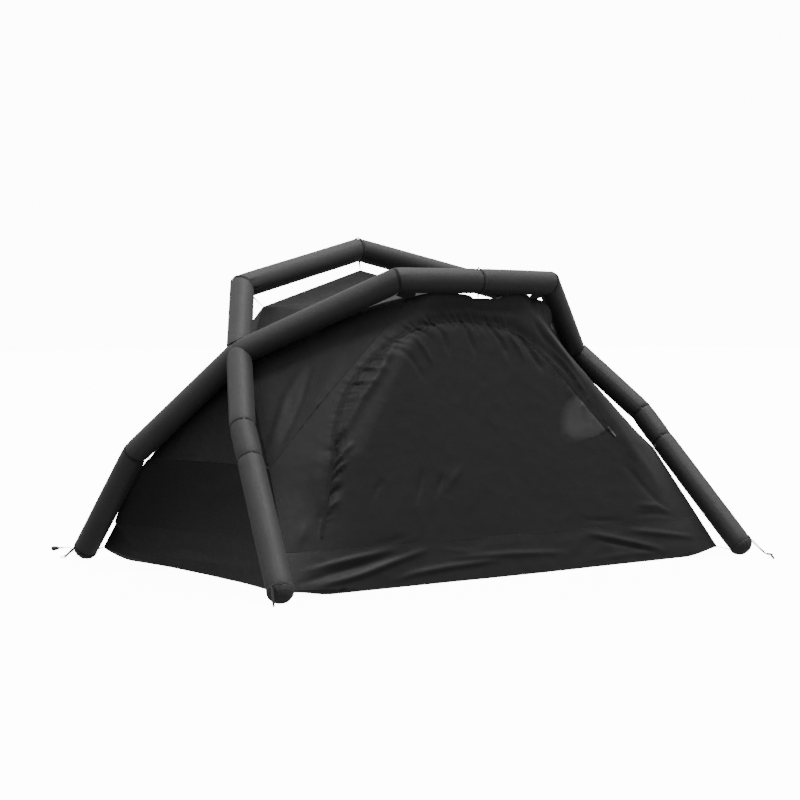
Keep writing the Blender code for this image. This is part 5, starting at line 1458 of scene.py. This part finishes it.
# The front cloth keeps flat beside the fold line and the rim, and dips a little along the zip's top
FOLD_CALM = 0.05
RIM_CALM = 0.05
ZIP_CALM = 0.006
VALLEY_DEPTH = 0.010
VALLEY_WIDTH = 0.030
VALLEY_START = 0.80
VALLEY_EASE = 0.12
RIPPLE_WIDTH = 0.02
LAP_END_X = -0.36


def lap_rise(flat, away):
    """A broad lap of loose cloth beside the zip, rising to a crisp crest."""
    rise, along, length = line_distance(flat, LAP_CREST)
    crest = np.array(LAP_CREST)
    outer = flat[:, 1] > np.interp(flat[:, 0], crest[::-1, 0], crest[::-1, 1])
    width = np.maximum(rise + away, 0.004)
    ramp = np.where(outer, np.clip(away / width, 0.0, 1.0) ** 1.3, np.exp(-(rise / LAP_FALL) ** 1.4))
    fade = np.sin(math.pi * np.clip(along / length, 0.01, 0.99)) ** 0.6
    return LAP_HEIGHT * ramp * fade


def zip_ripple(along):
    """The zip's own soft waviness, which both sides share."""
    return np.array([
        0.0030 * noise.noise(Vector((s * 13.0, 0.0, 2.0)))
        + 0.0014 * noise.noise(Vector((s * 41.0, 0.0, 8.0)))
        for s in along])


def pucker_waves(along, away, slant, seed):
    """Waves in three sizes that run out from the zip at a slant."""
    return np.array([
        noise.noise(Vector((s * 26.0, d * 5.0, seed))) + 0.9 * noise.noise(Vector((s * 63.0, d * 9.0, 5.0)))
        + 0.5 * noise.noise(Vector((s * 130.0, d * 14.0, 7.0)))
        for s, d in zip(along + slant * away, away)])


def front_height(flat, door):
    """How far the front cloth stands proud of its plain shape at flat places."""
    spread = np.column_stack([flat[:, 0], np.zeros(len(flat)), flat[:, 1]])
    away, along, length = line_distance(flat, ZIP_CURVE)
    height = 0.0026 * cloth_noise(spread, 4.0, 41.0) + 0.0010 * creased(cloth_noise(spread, 11.0, 43.0))
    height += 0.0005 * cloth_noise(spread, 30.0, 47.0)
    folds = fold_height(flat, DOOR_FOLDS if door else WALL_FOLDS)
    if door:
        rise = distance_to(flat, HIGHLIGHT_PATCH_EDGE)
        reach = np.where(inside(flat, np.array(HIGHLIGHT_PATCH_OUTLINE)), HIGHLIGHT_PATCH_RISE_INSIDE, HIGHLIGHT_PATCH_RISE_OUTSIDE)
        folds += HIGHLIGHT_PATCH_RISE * np.exp(-rise / reach)
        folds += lap_rise(flat, away) * (flat[:, 0] < LAP_END_X)
    puckers = DOOR_PUCKERS if door else WALL_PUCKERS
    near = away < PUCKER_LIMIT
    waves, ripple = np.zeros(len(flat)), np.zeros(len(flat))
    waves[near] = pucker_waves(along[near], away[near], puckers["slant"], puckers["seed"])
    ripple[near] = zip_ripple(along[near])
    gather = np.interp(along, [place for place, _ in ZIP_GATHER], [size for _, size in ZIP_GATHER])
    reach = puckers["reach"]
    swell = 0.25 * np.exp(-away / reach) + (away / reach) * np.exp(1.0 - away / reach)
    calm = np.clip(distance_to(flat, [FOLD_START, FOLD_END]) / FOLD_CALM, 0.0, 1.0)
    height += puckers["size"] * gather * waves * swell * calm
    height += folds * np.clip(away / ZIP_CALM, 0.0, 1.0) * calm
    high = np.clip((flat[:, 1] - VALLEY_START) / VALLEY_EASE, 0.0, 1.0)
    height += (-VALLEY_DEPTH * np.exp(-(away / VALLEY_WIDTH) ** 2) * high
               + ripple * np.exp(-(away / RIPPLE_WIDTH) ** 2) * calm)
    straight = np.clip((along - length + SLIDER_RUN) / SLIDER_RUN_EASE, 0.0, 1.0)
    return height * (1.0 - straight * np.exp(-(away / SLIDER_CLEARANCE) ** 4))


def front_points(flat, height):
    """Places in space of flat places on the front wall, raised by a height."""
    step = 0.002
    x, z = flat[:, 0], flat[:, 1]
    slope_x = np.clip((FRONT_WALL.at(x + step, z) - FRONT_WALL.at(x - step, z)) / (2.0 * step), -1.5, 1.5)
    slope_z = np.clip((FRONT_WALL.at(x, z + step) - FRONT_WALL.at(x, z - step)) / (2.0 * step), -0.5, 1.5)
    normal = np.column_stack([slope_x, -np.ones(len(flat)), slope_z])
    normal /= np.linalg.norm(normal, axis=1)[:, None]
    return settle(np.column_stack([x, FRONT_WALL.at(x, z), z]) + normal * np.asarray(height)[:, None])


def edge_calm(flat, border):
    """0 on the front wall's own border and 1 a little inside it."""
    return np.clip(distance_to(flat, border) / RIM_CALM, 0.0, 1.0) ** 0.8


HEX_ROW_SHARE = 0.866


def hex_grid(low, high, pitch):
    places = []
    for row in range(int((high[1] - low[1]) / (pitch * HEX_ROW_SHARE)) + 1):
        z = low[1] + row * pitch * HEX_ROW_SHARE
        for step in range(int((high[0] - low[0]) / pitch) + 1):
            places.append((low[0] + (step + 0.5 * (row % 2)) * pitch, z))
    return np.array(places)


def wall_outline(surfaces):
    """The front wall's outline in x and z, anticlockwise from its left bottom corner, and in space."""
    rows = surfaces["front_rows"]
    edge = np.concatenate([rows[0], rows[1:, -1], rows[-1, ::-1][1:], rows[::-1, 0][1:-1]])
    return edge[:, (0, 2)], edge


# Distances of the front mesh's rows beside the zip, and what its grid keeps clear of
ZIP_RAILS = (0.004, 0.0075, 0.012, 0.018, 0.026)
GRID_ZIP_GAP = 0.032
GRID_EDGE_GAP = 0.006
GRID_FOLD_GAP = 0.005
RAIL_EDGE_GAP = 0.005
RAIL_FOLD_GAP = 0.003
FOLD_POINTS = 180


def front_mesh(outline, border):
    """Flat triangles of the front wall and the door, which share the door's fold line."""
    fold_ends = [FOLD_START, FOLD_END]
    opening = beside(ZIP_CURVE, ZIP_CUT)
    leaf = beside(ZIP_CURVE, -ZIP_CUT)
    fold = [Vector(point) for point in np.linspace(tuple(FOLD_END), tuple(FOLD_START), FOLD_POINTS)]
    rails = np.array([
        tuple(point) for distance in ZIP_RAILS for way in (-1.0, 1.0)
        for point in beside(ZIP_CURVE, distance * way)])
    grid = hex_grid(outline.min(0), outline.max(0), WALL_PITCH)
    grid = grid[inside(grid, outline) & (distance_to(grid, ZIP_CURVE) > GRID_ZIP_GAP)
                & (distance_to(grid, border) > GRID_EDGE_GAP)
                & (distance_to(grid, fold_ends) > GRID_FOLD_GAP)]
    rails = rails[inside(rails, outline) & (distance_to(rails, border) > RAIL_EDGE_GAP)
                  & (distance_to(rails, fold_ends) > RAIL_FOLD_GAP)]
    coords, edges = [], []
    for loop, closed in ((outline, True), (opening, False), (leaf, False), (fold, False)):
        start = len(coords)
        coords.extend(Vector(tuple(point)) for point in loop)
        count = len(loop) if closed else len(loop) - 1
        edges.extend((start + k, start + (k + 1) % len(loop)) for k in range(count))
    coords.extend(Vector(point) for point in np.concatenate([rails, grid]))
    places, _, faces, *_ = geometry.delaunay_2d_cdt(coords, edges, [], 1, 1e-5)
    flat = np.array([tuple(place) for place in places])
    faces = np.array([tuple(face) for face in faces])
    middle = flat[faces].mean(1)
    in_opening = inside(middle, np.array([tuple(point) for point in opening + fold]))
    in_leaf = inside(middle, np.array([tuple(point) for point in leaf + fold]))
    return flat, faces[inside(middle, outline) & ~in_opening], faces[in_leaf]


def mark_painted_highlight(piece, places):
    """Mark where the door's cloth gets its painted highlight, a brighter base colour: crisp beside the zip
    and soft further in.
    """
    edge = distance_to(places, HIGHLIGHT_PATCH_OUTLINE + HIGHLIGHT_PATCH_OUTLINE[:1])
    soft = np.clip((0.47 - places[:, 0]) / 0.14, 0.0, 1.0)
    depth = np.where(inside(places, np.array(HIGHLIGHT_PATCH_OUTLINE)), edge, -edge)
    painted_highlight = np.clip((depth + 0.002 + 0.020 * soft) / (0.004 + 0.055 * soft), 0.0, 1.0)
    piece.data.attributes.new("painted_highlight", "FLOAT", "POINT").data.foreach_set("value", painted_highlight.astype(np.float32))


def front_sheet(name, node, flat, faces, outline, border, rim, body):
    used, own = np.unique(faces, return_inverse=True)
    own = own.reshape(faces.shape)
    places = flat[used]
    points = front_points(places, front_height(places, body == "door") * edge_calm(places, border))
    rim = settle(rim)
    for number in np.flatnonzero(distance_to(places, border) < ON_RIM):
        points[number] = rim[np.argmin(((outline - places[number]) ** 2).sum(1))]
    corners = points[own]
    away = np.cross(corners[:, 1] - corners[:, 0], corners[:, 2] - corners[:, 0])[:, 1] > 0.0
    own[away] = own[away][:, ::-1]
    piece = add_piece(name, points, own, "cabin", replaced=(node,), body=body, uvs=places,
                      thickness=CLOTH_THICKNESS)
    # The door's cloth carries a painted highlight beside the zip, as a brighter base colour
    if body == "door":
        mark_painted_highlight(piece, places)


def tape_strip(line, distances, way, lift, border):
    """Rows of places on the front cloth beside the zip, raised by a lift."""
    rows = []
    for distance in distances:
        flat = np.array([tuple(point) for point in beside(line, way * distance)])
        height = front_height(flat, way < 0.0) * edge_calm(flat, border) + lift
        rows.append(front_points(flat, height))
    return np.array(rows)


TAPE_THICKNESS = 0.0007
TAPE_LIFT = 0.0006
TOOTH_REACH = (-0.0002, 0.0022)
TOOTH_HALF_SHARE = 0.22
TOOTH_HEIGHTS = (0.0004, 0.0015)
TOOTH_FACES = ((0, 2, 3, 1), (4, 5, 7, 6), (0, 1, 5, 4), (2, 6, 7, 3), (0, 4, 6, 2), (1, 3, 7, 5))


def build_zip(border):
    """Two zip tapes, and the teeth between them."""
    distances = (ZIP_CUT * 0.6, 0.0028, 0.0045, 0.0062, ZIP_TAPE_REACH)
    for name, way, body, high_end in (("wall", 1.0, "tent", 1), ("door", -1.0, "door", 2)):
        line = ZIP_CURVE[ZIP_LOW_END_STEPS:len(ZIP_CURVE) - high_end]
        rows = tape_strip(line, distances, way, TAPE_LIFT, border)
        faces = grid_faces(*rows.shape[:2])
        if way > 0.0:
            faces = [tuple(reversed(face)) for face in faces]
        add_piece(f"zip_tape_{name}_side", rows.reshape(-1, 3), faces, "zip", replaced=(f"zip_tape_{name}",),
                  body=body, uvs=cloth_lengths(rows), thickness=TAPE_THICKNESS)
        build_teeth(name, way, body, line, border)


def build_teeth(name, way, body, curve, border):
    """One side's row of zip teeth, which mesh with the other side's."""
    line = even_points(curve, TOOTH_PITCH / 2.0)
    places = []
    for number, point in enumerate(line[1:-1], 1):
        if (number % 2 == 0) != (way > 0.0):
            continue
        along = heading(line, number)
        across = turned(along) * way
        places.extend(tuple(point + across * reach + along * (TOOTH_PITCH * share))
                      for reach in TOOTH_REACH for share in (-TOOTH_HALF_SHARE, TOOTH_HALF_SHARE))
    flat = np.array(places)
    base = front_height(flat[::4], way < 0.0) * edge_calm(flat[::4], border)
    low, high = (front_points(flat, np.repeat(base + lift, 4)) for lift in TOOTH_HEIGHTS)
    teeth = Parts()
    for number in range(0, len(flat), 4):
        teeth.add(([*low[number:number + 4], *high[number:number + 4]], TOOTH_FACES))
    teeth.piece(f"zip_teeth_{name}_side", "coil", body=body, sharp=40.0)


def build_front(surfaces):
    outline, rim = wall_outline(surfaces)
    border = [Vector(point) for point in outline[::2]]
    flat, wall, door = front_mesh(outline, border)
    front_sheet("front_cloth", "front_wall", flat, wall, outline, border, rim, "tent")
    front_sheet("door_cloth", "door_panel", flat, door, outline, border, rim, "door")
    build_zip(border)


# Slider and pull

SLIDER_PLACE = (0.56942, -0.54933, 0.54236)
PULL_PLACE = (0.57607, -0.55675, 0.53598)
SLIDER_ACROSS = (0.77455, 0.16941, 0.6094)
SLIDER_UP = (-0.63251, 0.20746, 0.74625)


SHIELD_RIGHT = [(0.0032, -0.0088), (0.0046, -0.0070), (0.0048, -0.0010), (0.0050, 0.0050), (0.0042, 0.0082),
                (0.0016, 0.0088)]
SHIELD_LEFT = [(-x, y) for x, y in reversed(SHIELD_RIGHT)]
SHIELD = SHIELD_LEFT[-1:] + SHIELD_RIGHT + [(0.0, 0.0066)] + SHIELD_LEFT[:-1]
SHIELD_HEIGHTS = ((0.0031, 0.0041), (0.0056, 0.0064))
NECK_HEIGHTS = (0.0038, 0.0060)
BRIDGE_START = -0.0066
BRIDGE_LENGTH = 0.0125
BRIDGE_FOOT = 0.0058
BRIDGE_RISE = 0.0021
BRIDGE_SECTION = (0.0030, 0.0010)
PULL_RING_SIZE = (0.0028, 0.0032)
PULL_RING_MIDDLE = -0.0030
PULL_WIRE_RADIUS = 0.0007
TONGUE_ENDS = (-0.0055, -0.0330)
TONGUE_SECTION = (0.0070, 0.0018)
RIB_PLACES = (-0.0095, -0.0290)
RIB_HALF_WIDTH = 0.0038
RIB_SECTION = (0.0016, 0.0026)
ACROSS, UPWARD = (1.0, 0.0, 0.0), (0.0, 1.0, 0.0)


def placed(shape, origin):
    """A shape given across, up the zip and outward, put where the slider is."""
    points, faces = shape
    across, upward = Vector(SLIDER_ACROSS), Vector(SLIDER_UP)
    outward = across.cross(upward)
    return [Vector(origin) + across * x + upward * y + outward * z for x, y, z in points], faces


def plate(outline, low, high):
    """A flat plate with an outline, between two heights."""
    count = len(outline)
    points = [(x, y, z) for z in (low, high) for x, y in outline]
    faces = [tuple(reversed(range(count))), tuple(range(count, 2 * count))]
    faces += [(k, (k + 1) % count, (k + 1) % count + count, k + count) for k in range(count)]
    return points, faces


def build_slider():
    parts = Parts()
    for heights in SHIELD_HEIGHTS:
        parts.add(placed(plate(SHIELD, *heights), SLIDER_PLACE))
    neck = [(x * 0.45, y * 0.55 + 0.0015) for x, y in SHIELD]
    parts.add(placed(plate(neck, *NECK_HEIGHTS), SLIDER_PLACE))
    bridge = [Vector((0.0, BRIDGE_START + BRIDGE_LENGTH * share,
                      BRIDGE_FOOT + BRIDGE_RISE * math.sin(math.pi * share) ** 0.5))
              for share in np.linspace(0.0, 1.0, 12)]
    parts.add(placed(swept(bridge, tape_profile(*BRIDGE_SECTION), side=ACROSS), SLIDER_PLACE))
    slider = parts.piece("zip_slider_body", "metal", replaced=("zip_slider",), body="slider", sharp=35.0)
    bevel = slider.modifiers.new("soft_edges", "BEVEL")
    bevel.width = 0.00022
    bevel.segments = 2
    bevel.limit_method = "ANGLE"
    tab = Parts()
    wide, high = PULL_RING_SIZE
    ring = [Vector((wide * math.cos(turn), high * math.sin(turn) + PULL_RING_MIDDLE, 0.0))
            for turn in np.linspace(0.0, math.tau, 20, endpoint=False)]
    tab.add(placed(swept(ring, round_profile(PULL_WIRE_RADIUS, 8), closed_line=True), PULL_PLACE))
    tongue = [Vector((0.0, y, 0.0)) for y in np.linspace(*TONGUE_ENDS, 14)]
    tab.add(placed(swept(tongue, tape_profile(*TONGUE_SECTION), side=ACROSS), PULL_PLACE))
    for y in RIB_PLACES:
        rib = [Vector((x, y, 0.0)) for x in np.linspace(-RIB_HALF_WIDTH, RIB_HALF_WIDTH, 8)]
        tab.add(placed(swept(rib, tape_profile(*RIB_SECTION), side=UPWARD), PULL_PLACE))
    tab.piece("zip_pull_tab", "pull", replaced=("zip_pull",), body="pull", sharp=35.0)


# Seams and ties

FINE_SEAM = 0.0011
BOLD_SEAM = 0.0013


def seam_cord(line, radius=FINE_SEAM, lift=0.0002):
    """A fine raised seam along a line of points."""
    raised = [Vector(tuple(point)) + Vector((0.0, 0.0, lift)) for point in line]
    return swept(raised, round_profile(radius, 6))


def build_seam_lines(surfaces):
    """Fine piping along the seams between the cloth panels."""
    tub = Parts()
    for side in ("front", "back", "left", "right"):
        tub.add(seam_cord(surfaces[f"tub_wall_{side}"][-1][::2]))
    tub.piece("tub_seam", "binding")
    cabin = Parts()
    rows = surfaces["front_rows"]
    cabin.add(seam_cord(settle(rows[-1][::2])))
    for side in ("left", "right"):
        cabin.add(seam_cord(surfaces[f"side_wall_{side}"][-1][::2], BOLD_SEAM))
    cabin.piece("cabin_seams", "binding")
    shoulders = Parts()
    for side in (0, -1):
        shoulders.add(seam_cord(settle(rows[:, side]), BOLD_SEAM, -0.0004))
    shoulders.piece("shoulder_seams", "cabin")


def tape_run(places, width_way, widths, thickness=TIE_THICKNESS):
    """Webbing along a line of places, with a width at each place, flat to a way across it."""
    points = []
    for number, place in enumerate(places):
        along = heading(places, number)
        across = (width_way - along * width_way.dot(along)).normalized()
        out = along.cross(across)
        profile = tape_profile(widths[number], thickness)
        points.extend(place + across * x + out * y for x, y in profile)
    return points, tube_faces(len(places), len(profile))


TAPE_STEPS = 14
TACK_WIDTH = 0.0012
TACK_HEIGHT = 0.0008


def straight_tape(start, end, width_way, first_width, last_width):
    """A straight length of webbing with bar tacks at both ends."""
    share = np.linspace(0.0, 1.0, TAPE_STEPS)
    places = [start.lerp(end, step) for step in share]
    tape = Parts()
    tape.add(tape_run(places, width_way, first_width + (last_width - first_width) * share))
    along = (end - start).normalized()
    across = (width_way - along * width_way.dot(along)).normalized()
    for share_along, width in ((0.12, first_width), (0.22, first_width), (0.88, last_width)):
        centre = start.lerp(end, share_along)
        half = across * (width * 0.42)
        line = [centre - half, centre, centre + half]
        tape.add(tape_run(line, along, [TACK_WIDTH] * 3, TIE_THICKNESS + TACK_HEIGHT))
    return tape.points, tape.faces


def tie_ends(centre, corner):
    """Where a tie leaves a beam's skin and where it meets the cabin's corner."""
    goal = Vector(corner)
    way = (goal - centre).normalized()
    return centre + way * STRAP_RADIUS, goal - way * 0.0006


def build_ties():
    """Webbing ties between the beams and the cabin's corners."""
    tie = (TIE_WIDTH, TIE_END_WIDTH)
    roof_tab = (ROOF_TAB_WIDTH, ROOF_TAB_END_WIDTH)
    plans = (
        ("crossing_tie", CROSSING, "crossing", FRONT_ARCH.frames[1][0], tie),
        ("roof_front_tie", FRONT_CORNER, "roof_front", FRONT_ARCH.plane(3), roof_tab),
        ("roof_back_tie", BACK_CORNER, "roof_back", BACK_ARCH.plane(4), tie),
        ("front_leg_tie", FRONT_LEG_LOW_SEAM, "front_leg", BACK_ARCH.plane(1), tie),
        ("back_leg_tie", BACK_LEG_BEND, "back_leg", FRONT_ARCH.plane(1), tie),
    )
    for label, point, corner, along, widths in plans:
        shape = straight_tape(*tie_ends(flip(point), flip(CORNERS[corner])), along, *widths)
        for side in ("left", "right"):
            add_on_side(side, f"{label}_webbing_{side}", shape, "webbing", replaced=(f"{label}_{side}",),
                        sharp=50.0)


def loop_tape(root, tip, width_way, bulge, width):
    """A loop of webbing that goes out from its root to its tip and back."""
    aside = (tip - root).normalized().cross(width_way.normalized())
    places = [root + (tip - root) * math.sin(turn) ** 0.6 + aside * (bulge * math.cos(turn))
              for turn in np.linspace(0.0, math.pi, 26)]
    return tape_run(places, width_way, [width] * len(places), STRAP_THICKNESS)


def square_to(way, axis):
    """The part of a way that is square to an axis, at length 1."""
    return (way - axis * way.dot(axis)).normalized()


def ridge_strap(name, path, index, corner):
    """A strap round a ridge's middle seam, with a tab on top and a tie below."""
    centre = path.corners[index]
    strap = Parts()
    strap.add(band(path, index, STRAP_RADIUS - BEAM_RADIUS, STRAP_WIDTH / 2.0, STRAP_THICKNESS))
    root = centre + Vector((0.0, 0.0, STRAP_RADIUS))
    tip = root + Vector((0.0, 0.0, STRAP_TAB))
    strap.add(loop_tape(root, tip, Vector(ACROSS), RIDGE_TAB_BULGE, RIDGE_TAB_WIDTH))
    ends = tie_ends(centre, CORNERS[corner])
    strap.add(straight_tape(*ends, path.plane(index), RIDGE_TIE_WIDTH, TIE_END_WIDTH))
    strap.piece(f"{name}_webbing", "webbing", replaced=(name,), sharp=50.0)


def foot_strap(path, corner, way_y):
    """A strap round a left foot, with its tie, its peg loop and its buckle."""
    axis = path.frames[0][0]
    foot = path.corners[0]
    goal = flip(CORNERS[corner])
    tie_start = foot + square_to(goal - foot, axis) * STRAP_RADIUS
    shape = Parts()
    shape.add(band(path, 0, STRAP_RADIUS - BEAM_RADIUS, STRAP_WIDTH / 2.0, STRAP_THICKNESS))
    shape.add(straight_tape(tie_start, goal, axis.cross(goal - tie_start), TIE_WIDTH, TIE_END_WIDTH))
    loop_end = Vector((-PEG_LOOP_REACH[0], way_y * PEG_LOOP_REACH[1], PEG_LOOP_LIFT))
    way = square_to(loop_end - foot, axis)
    loop_start = foot + way * STRAP_RADIUS
    loop_across = axis.cross(loop_end - loop_start)
    shape.add(loop_tape(loop_start, loop_end, loop_across, PEG_LOOP_BULGE, PEG_LOOP_WIDTH))
    buckle = foot + (way + axis.cross(way) * 0.8).normalized() * (STRAP_RADIUS + 0.0012)
    line = [buckle + axis * step for step in (-BUCKLE_HALF_LENGTH, 0.0, BUCKLE_HALF_LENGTH)]
    shape.add(tape_run(line, axis.cross(buckle - foot), BUCKLE_WIDTHS, BUCKLE_THICKNESS))
    return [Vector((x, y, max(z, STRAP_GROUND_GAP))) for x, y, z in shape.points], shape.faces


def build_straps():
    """Straps round the middle seams and the feet, with their tabs, tails and peg loops."""
    ridge_strap("front_ridge_strap", FRONT_ARCH, 4, "ridge_front")
    ridge_strap("back_ridge_strap", BACK_ARCH, 5, "ridge_back")
    for label, path, way_y in (("front", BACK_ARCH, -1.0), ("back", FRONT_ARCH, 1.0)):
        shape = foot_strap(path, f"{label}_foot", way_y)
        for side in ("left", "right"):
            node = f"foot_strap_{label}_{side}"
            add_on_side(side, f"{node}_webbing", shape, "webbing", replaced=(node,), sharp=50.0)


# Free cords

def add_cord(name, node, route, steps, radius, sides, **words):
    """A free cord along its route."""
    line = smooth_run(route, steps)
    points, faces = swept(line, round_profile(radius, sides))
    cord = add_piece(name, points, faces, "cord", replaced=(node,))


def build_cords():
    add_cord("foot_cord_strands", "foot_cord_front_right", FRONT_CORD_ROUTE, 4, FRONT_CORD_RADIUS, 12,
             far_end="bare")
    add_cord("guy_cord_strands", "guy_cord_back_left", BACK_CORD_ROUTE, 6, BACK_CORD_RADIUS, 10,
             far_end="fitting", with_pieces=[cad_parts["guy_toggle_back_left"]])


# Kept model nodes

def dress_nodes():
    """Give every kept node of the model the finish of its kind."""
    kinds = {
        "bladder": "film", "chamber_pipe": "plastic", "valve": "plastic", "toggle": "plastic",
        "strap": "webbing", "tie": "webbing", "zip_slider": "metal", "zip_pull": "pull", "zip_tape": "zip",
    }
    for name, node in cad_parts.items():
        kind = next((kinds[key] for key in kinds if key in name), "webbing")
        node.data.materials.clear()
        node.data.materials.append(MATERIALS[kind])


# Studio

def build_floor():
    mesh = bpy.data.meshes.new("studio_floor")
    mesh.from_pydata([(-FLOOR_SIZE, -FLOOR_SIZE, 0.0), (FLOOR_SIZE, -FLOOR_SIZE, 0.0),
                      (FLOOR_SIZE, FLOOR_SIZE, 0.0), (-FLOOR_SIZE, FLOOR_SIZE, 0.0)], [], [(0, 1, 2, 3)])
    mesh.materials.append(floor_material())
    floor = bpy.data.objects.new("studio_floor", mesh)
    bpy.context.scene.collection.objects.link(floor)
    floor.visible_diffuse = False
    floor.visible_glossy = False


def build_world():
    """A dome that is brighter overhead, and a pale backdrop that only the camera sees."""
    world = bpy.context.scene.world or bpy.data.worlds.new("studio")
    bpy.context.scene.world = world
    world.use_nodes = True
    tree = world.node_tree
    tree.nodes.clear()
    way, split, dome, seen, choice, background, output = (tree.nodes.new(f"ShaderNode{kind}") for kind in (
        "TexCoord", "SeparateXYZ", "MapRange", "LightPath", "Mix", "Background", "OutputWorld"))
    dome.interpolation_type = "SMOOTHSTEP"
    for name, value in (("From Min", -0.10), ("From Max", 1.0), ("To Min", DOME_LOW), ("To Max", DOME_HIGH)):
        dome.inputs[name].default_value = value
    choice.inputs["B"].default_value = BACKDROP
    for start, end in (
            (way.outputs["Generated"], split.inputs[0]), (split.outputs["Z"], dome.inputs["Value"]),
            (seen.outputs["Is Camera Ray"], choice.inputs["Factor"]), (dome.outputs[0], choice.inputs["A"]),
            (choice.outputs["Result"], background.inputs["Strength"]),
            (background.outputs[0], output.inputs[0])):
        tree.links.new(start, end)


def build_key_light():
    data = bpy.data.lights.new("key", "SUN")
    data.angle = math.radians(KEY_WIDTH)
    data.energy = KEY_POWER
    light = bpy.data.objects.new("key", data)
    light.location = KEY_PLACE
    light.rotation_mode = "QUATERNION"
    light.rotation_quaternion = (-Vector(KEY_PLACE)).to_track_quat("-Z", "Y")
    bpy.context.scene.collection.objects.link(light)


make_camera()
build_floor()
build_world()
build_key_light()
dress_nodes()
build_cords()
build_sleeves()
build_seam_bands()
build_feet()
cabin = build_panels()
build_front(cabin)
build_slider()
build_seam_lines(cabin)
build_ties()
build_straps()
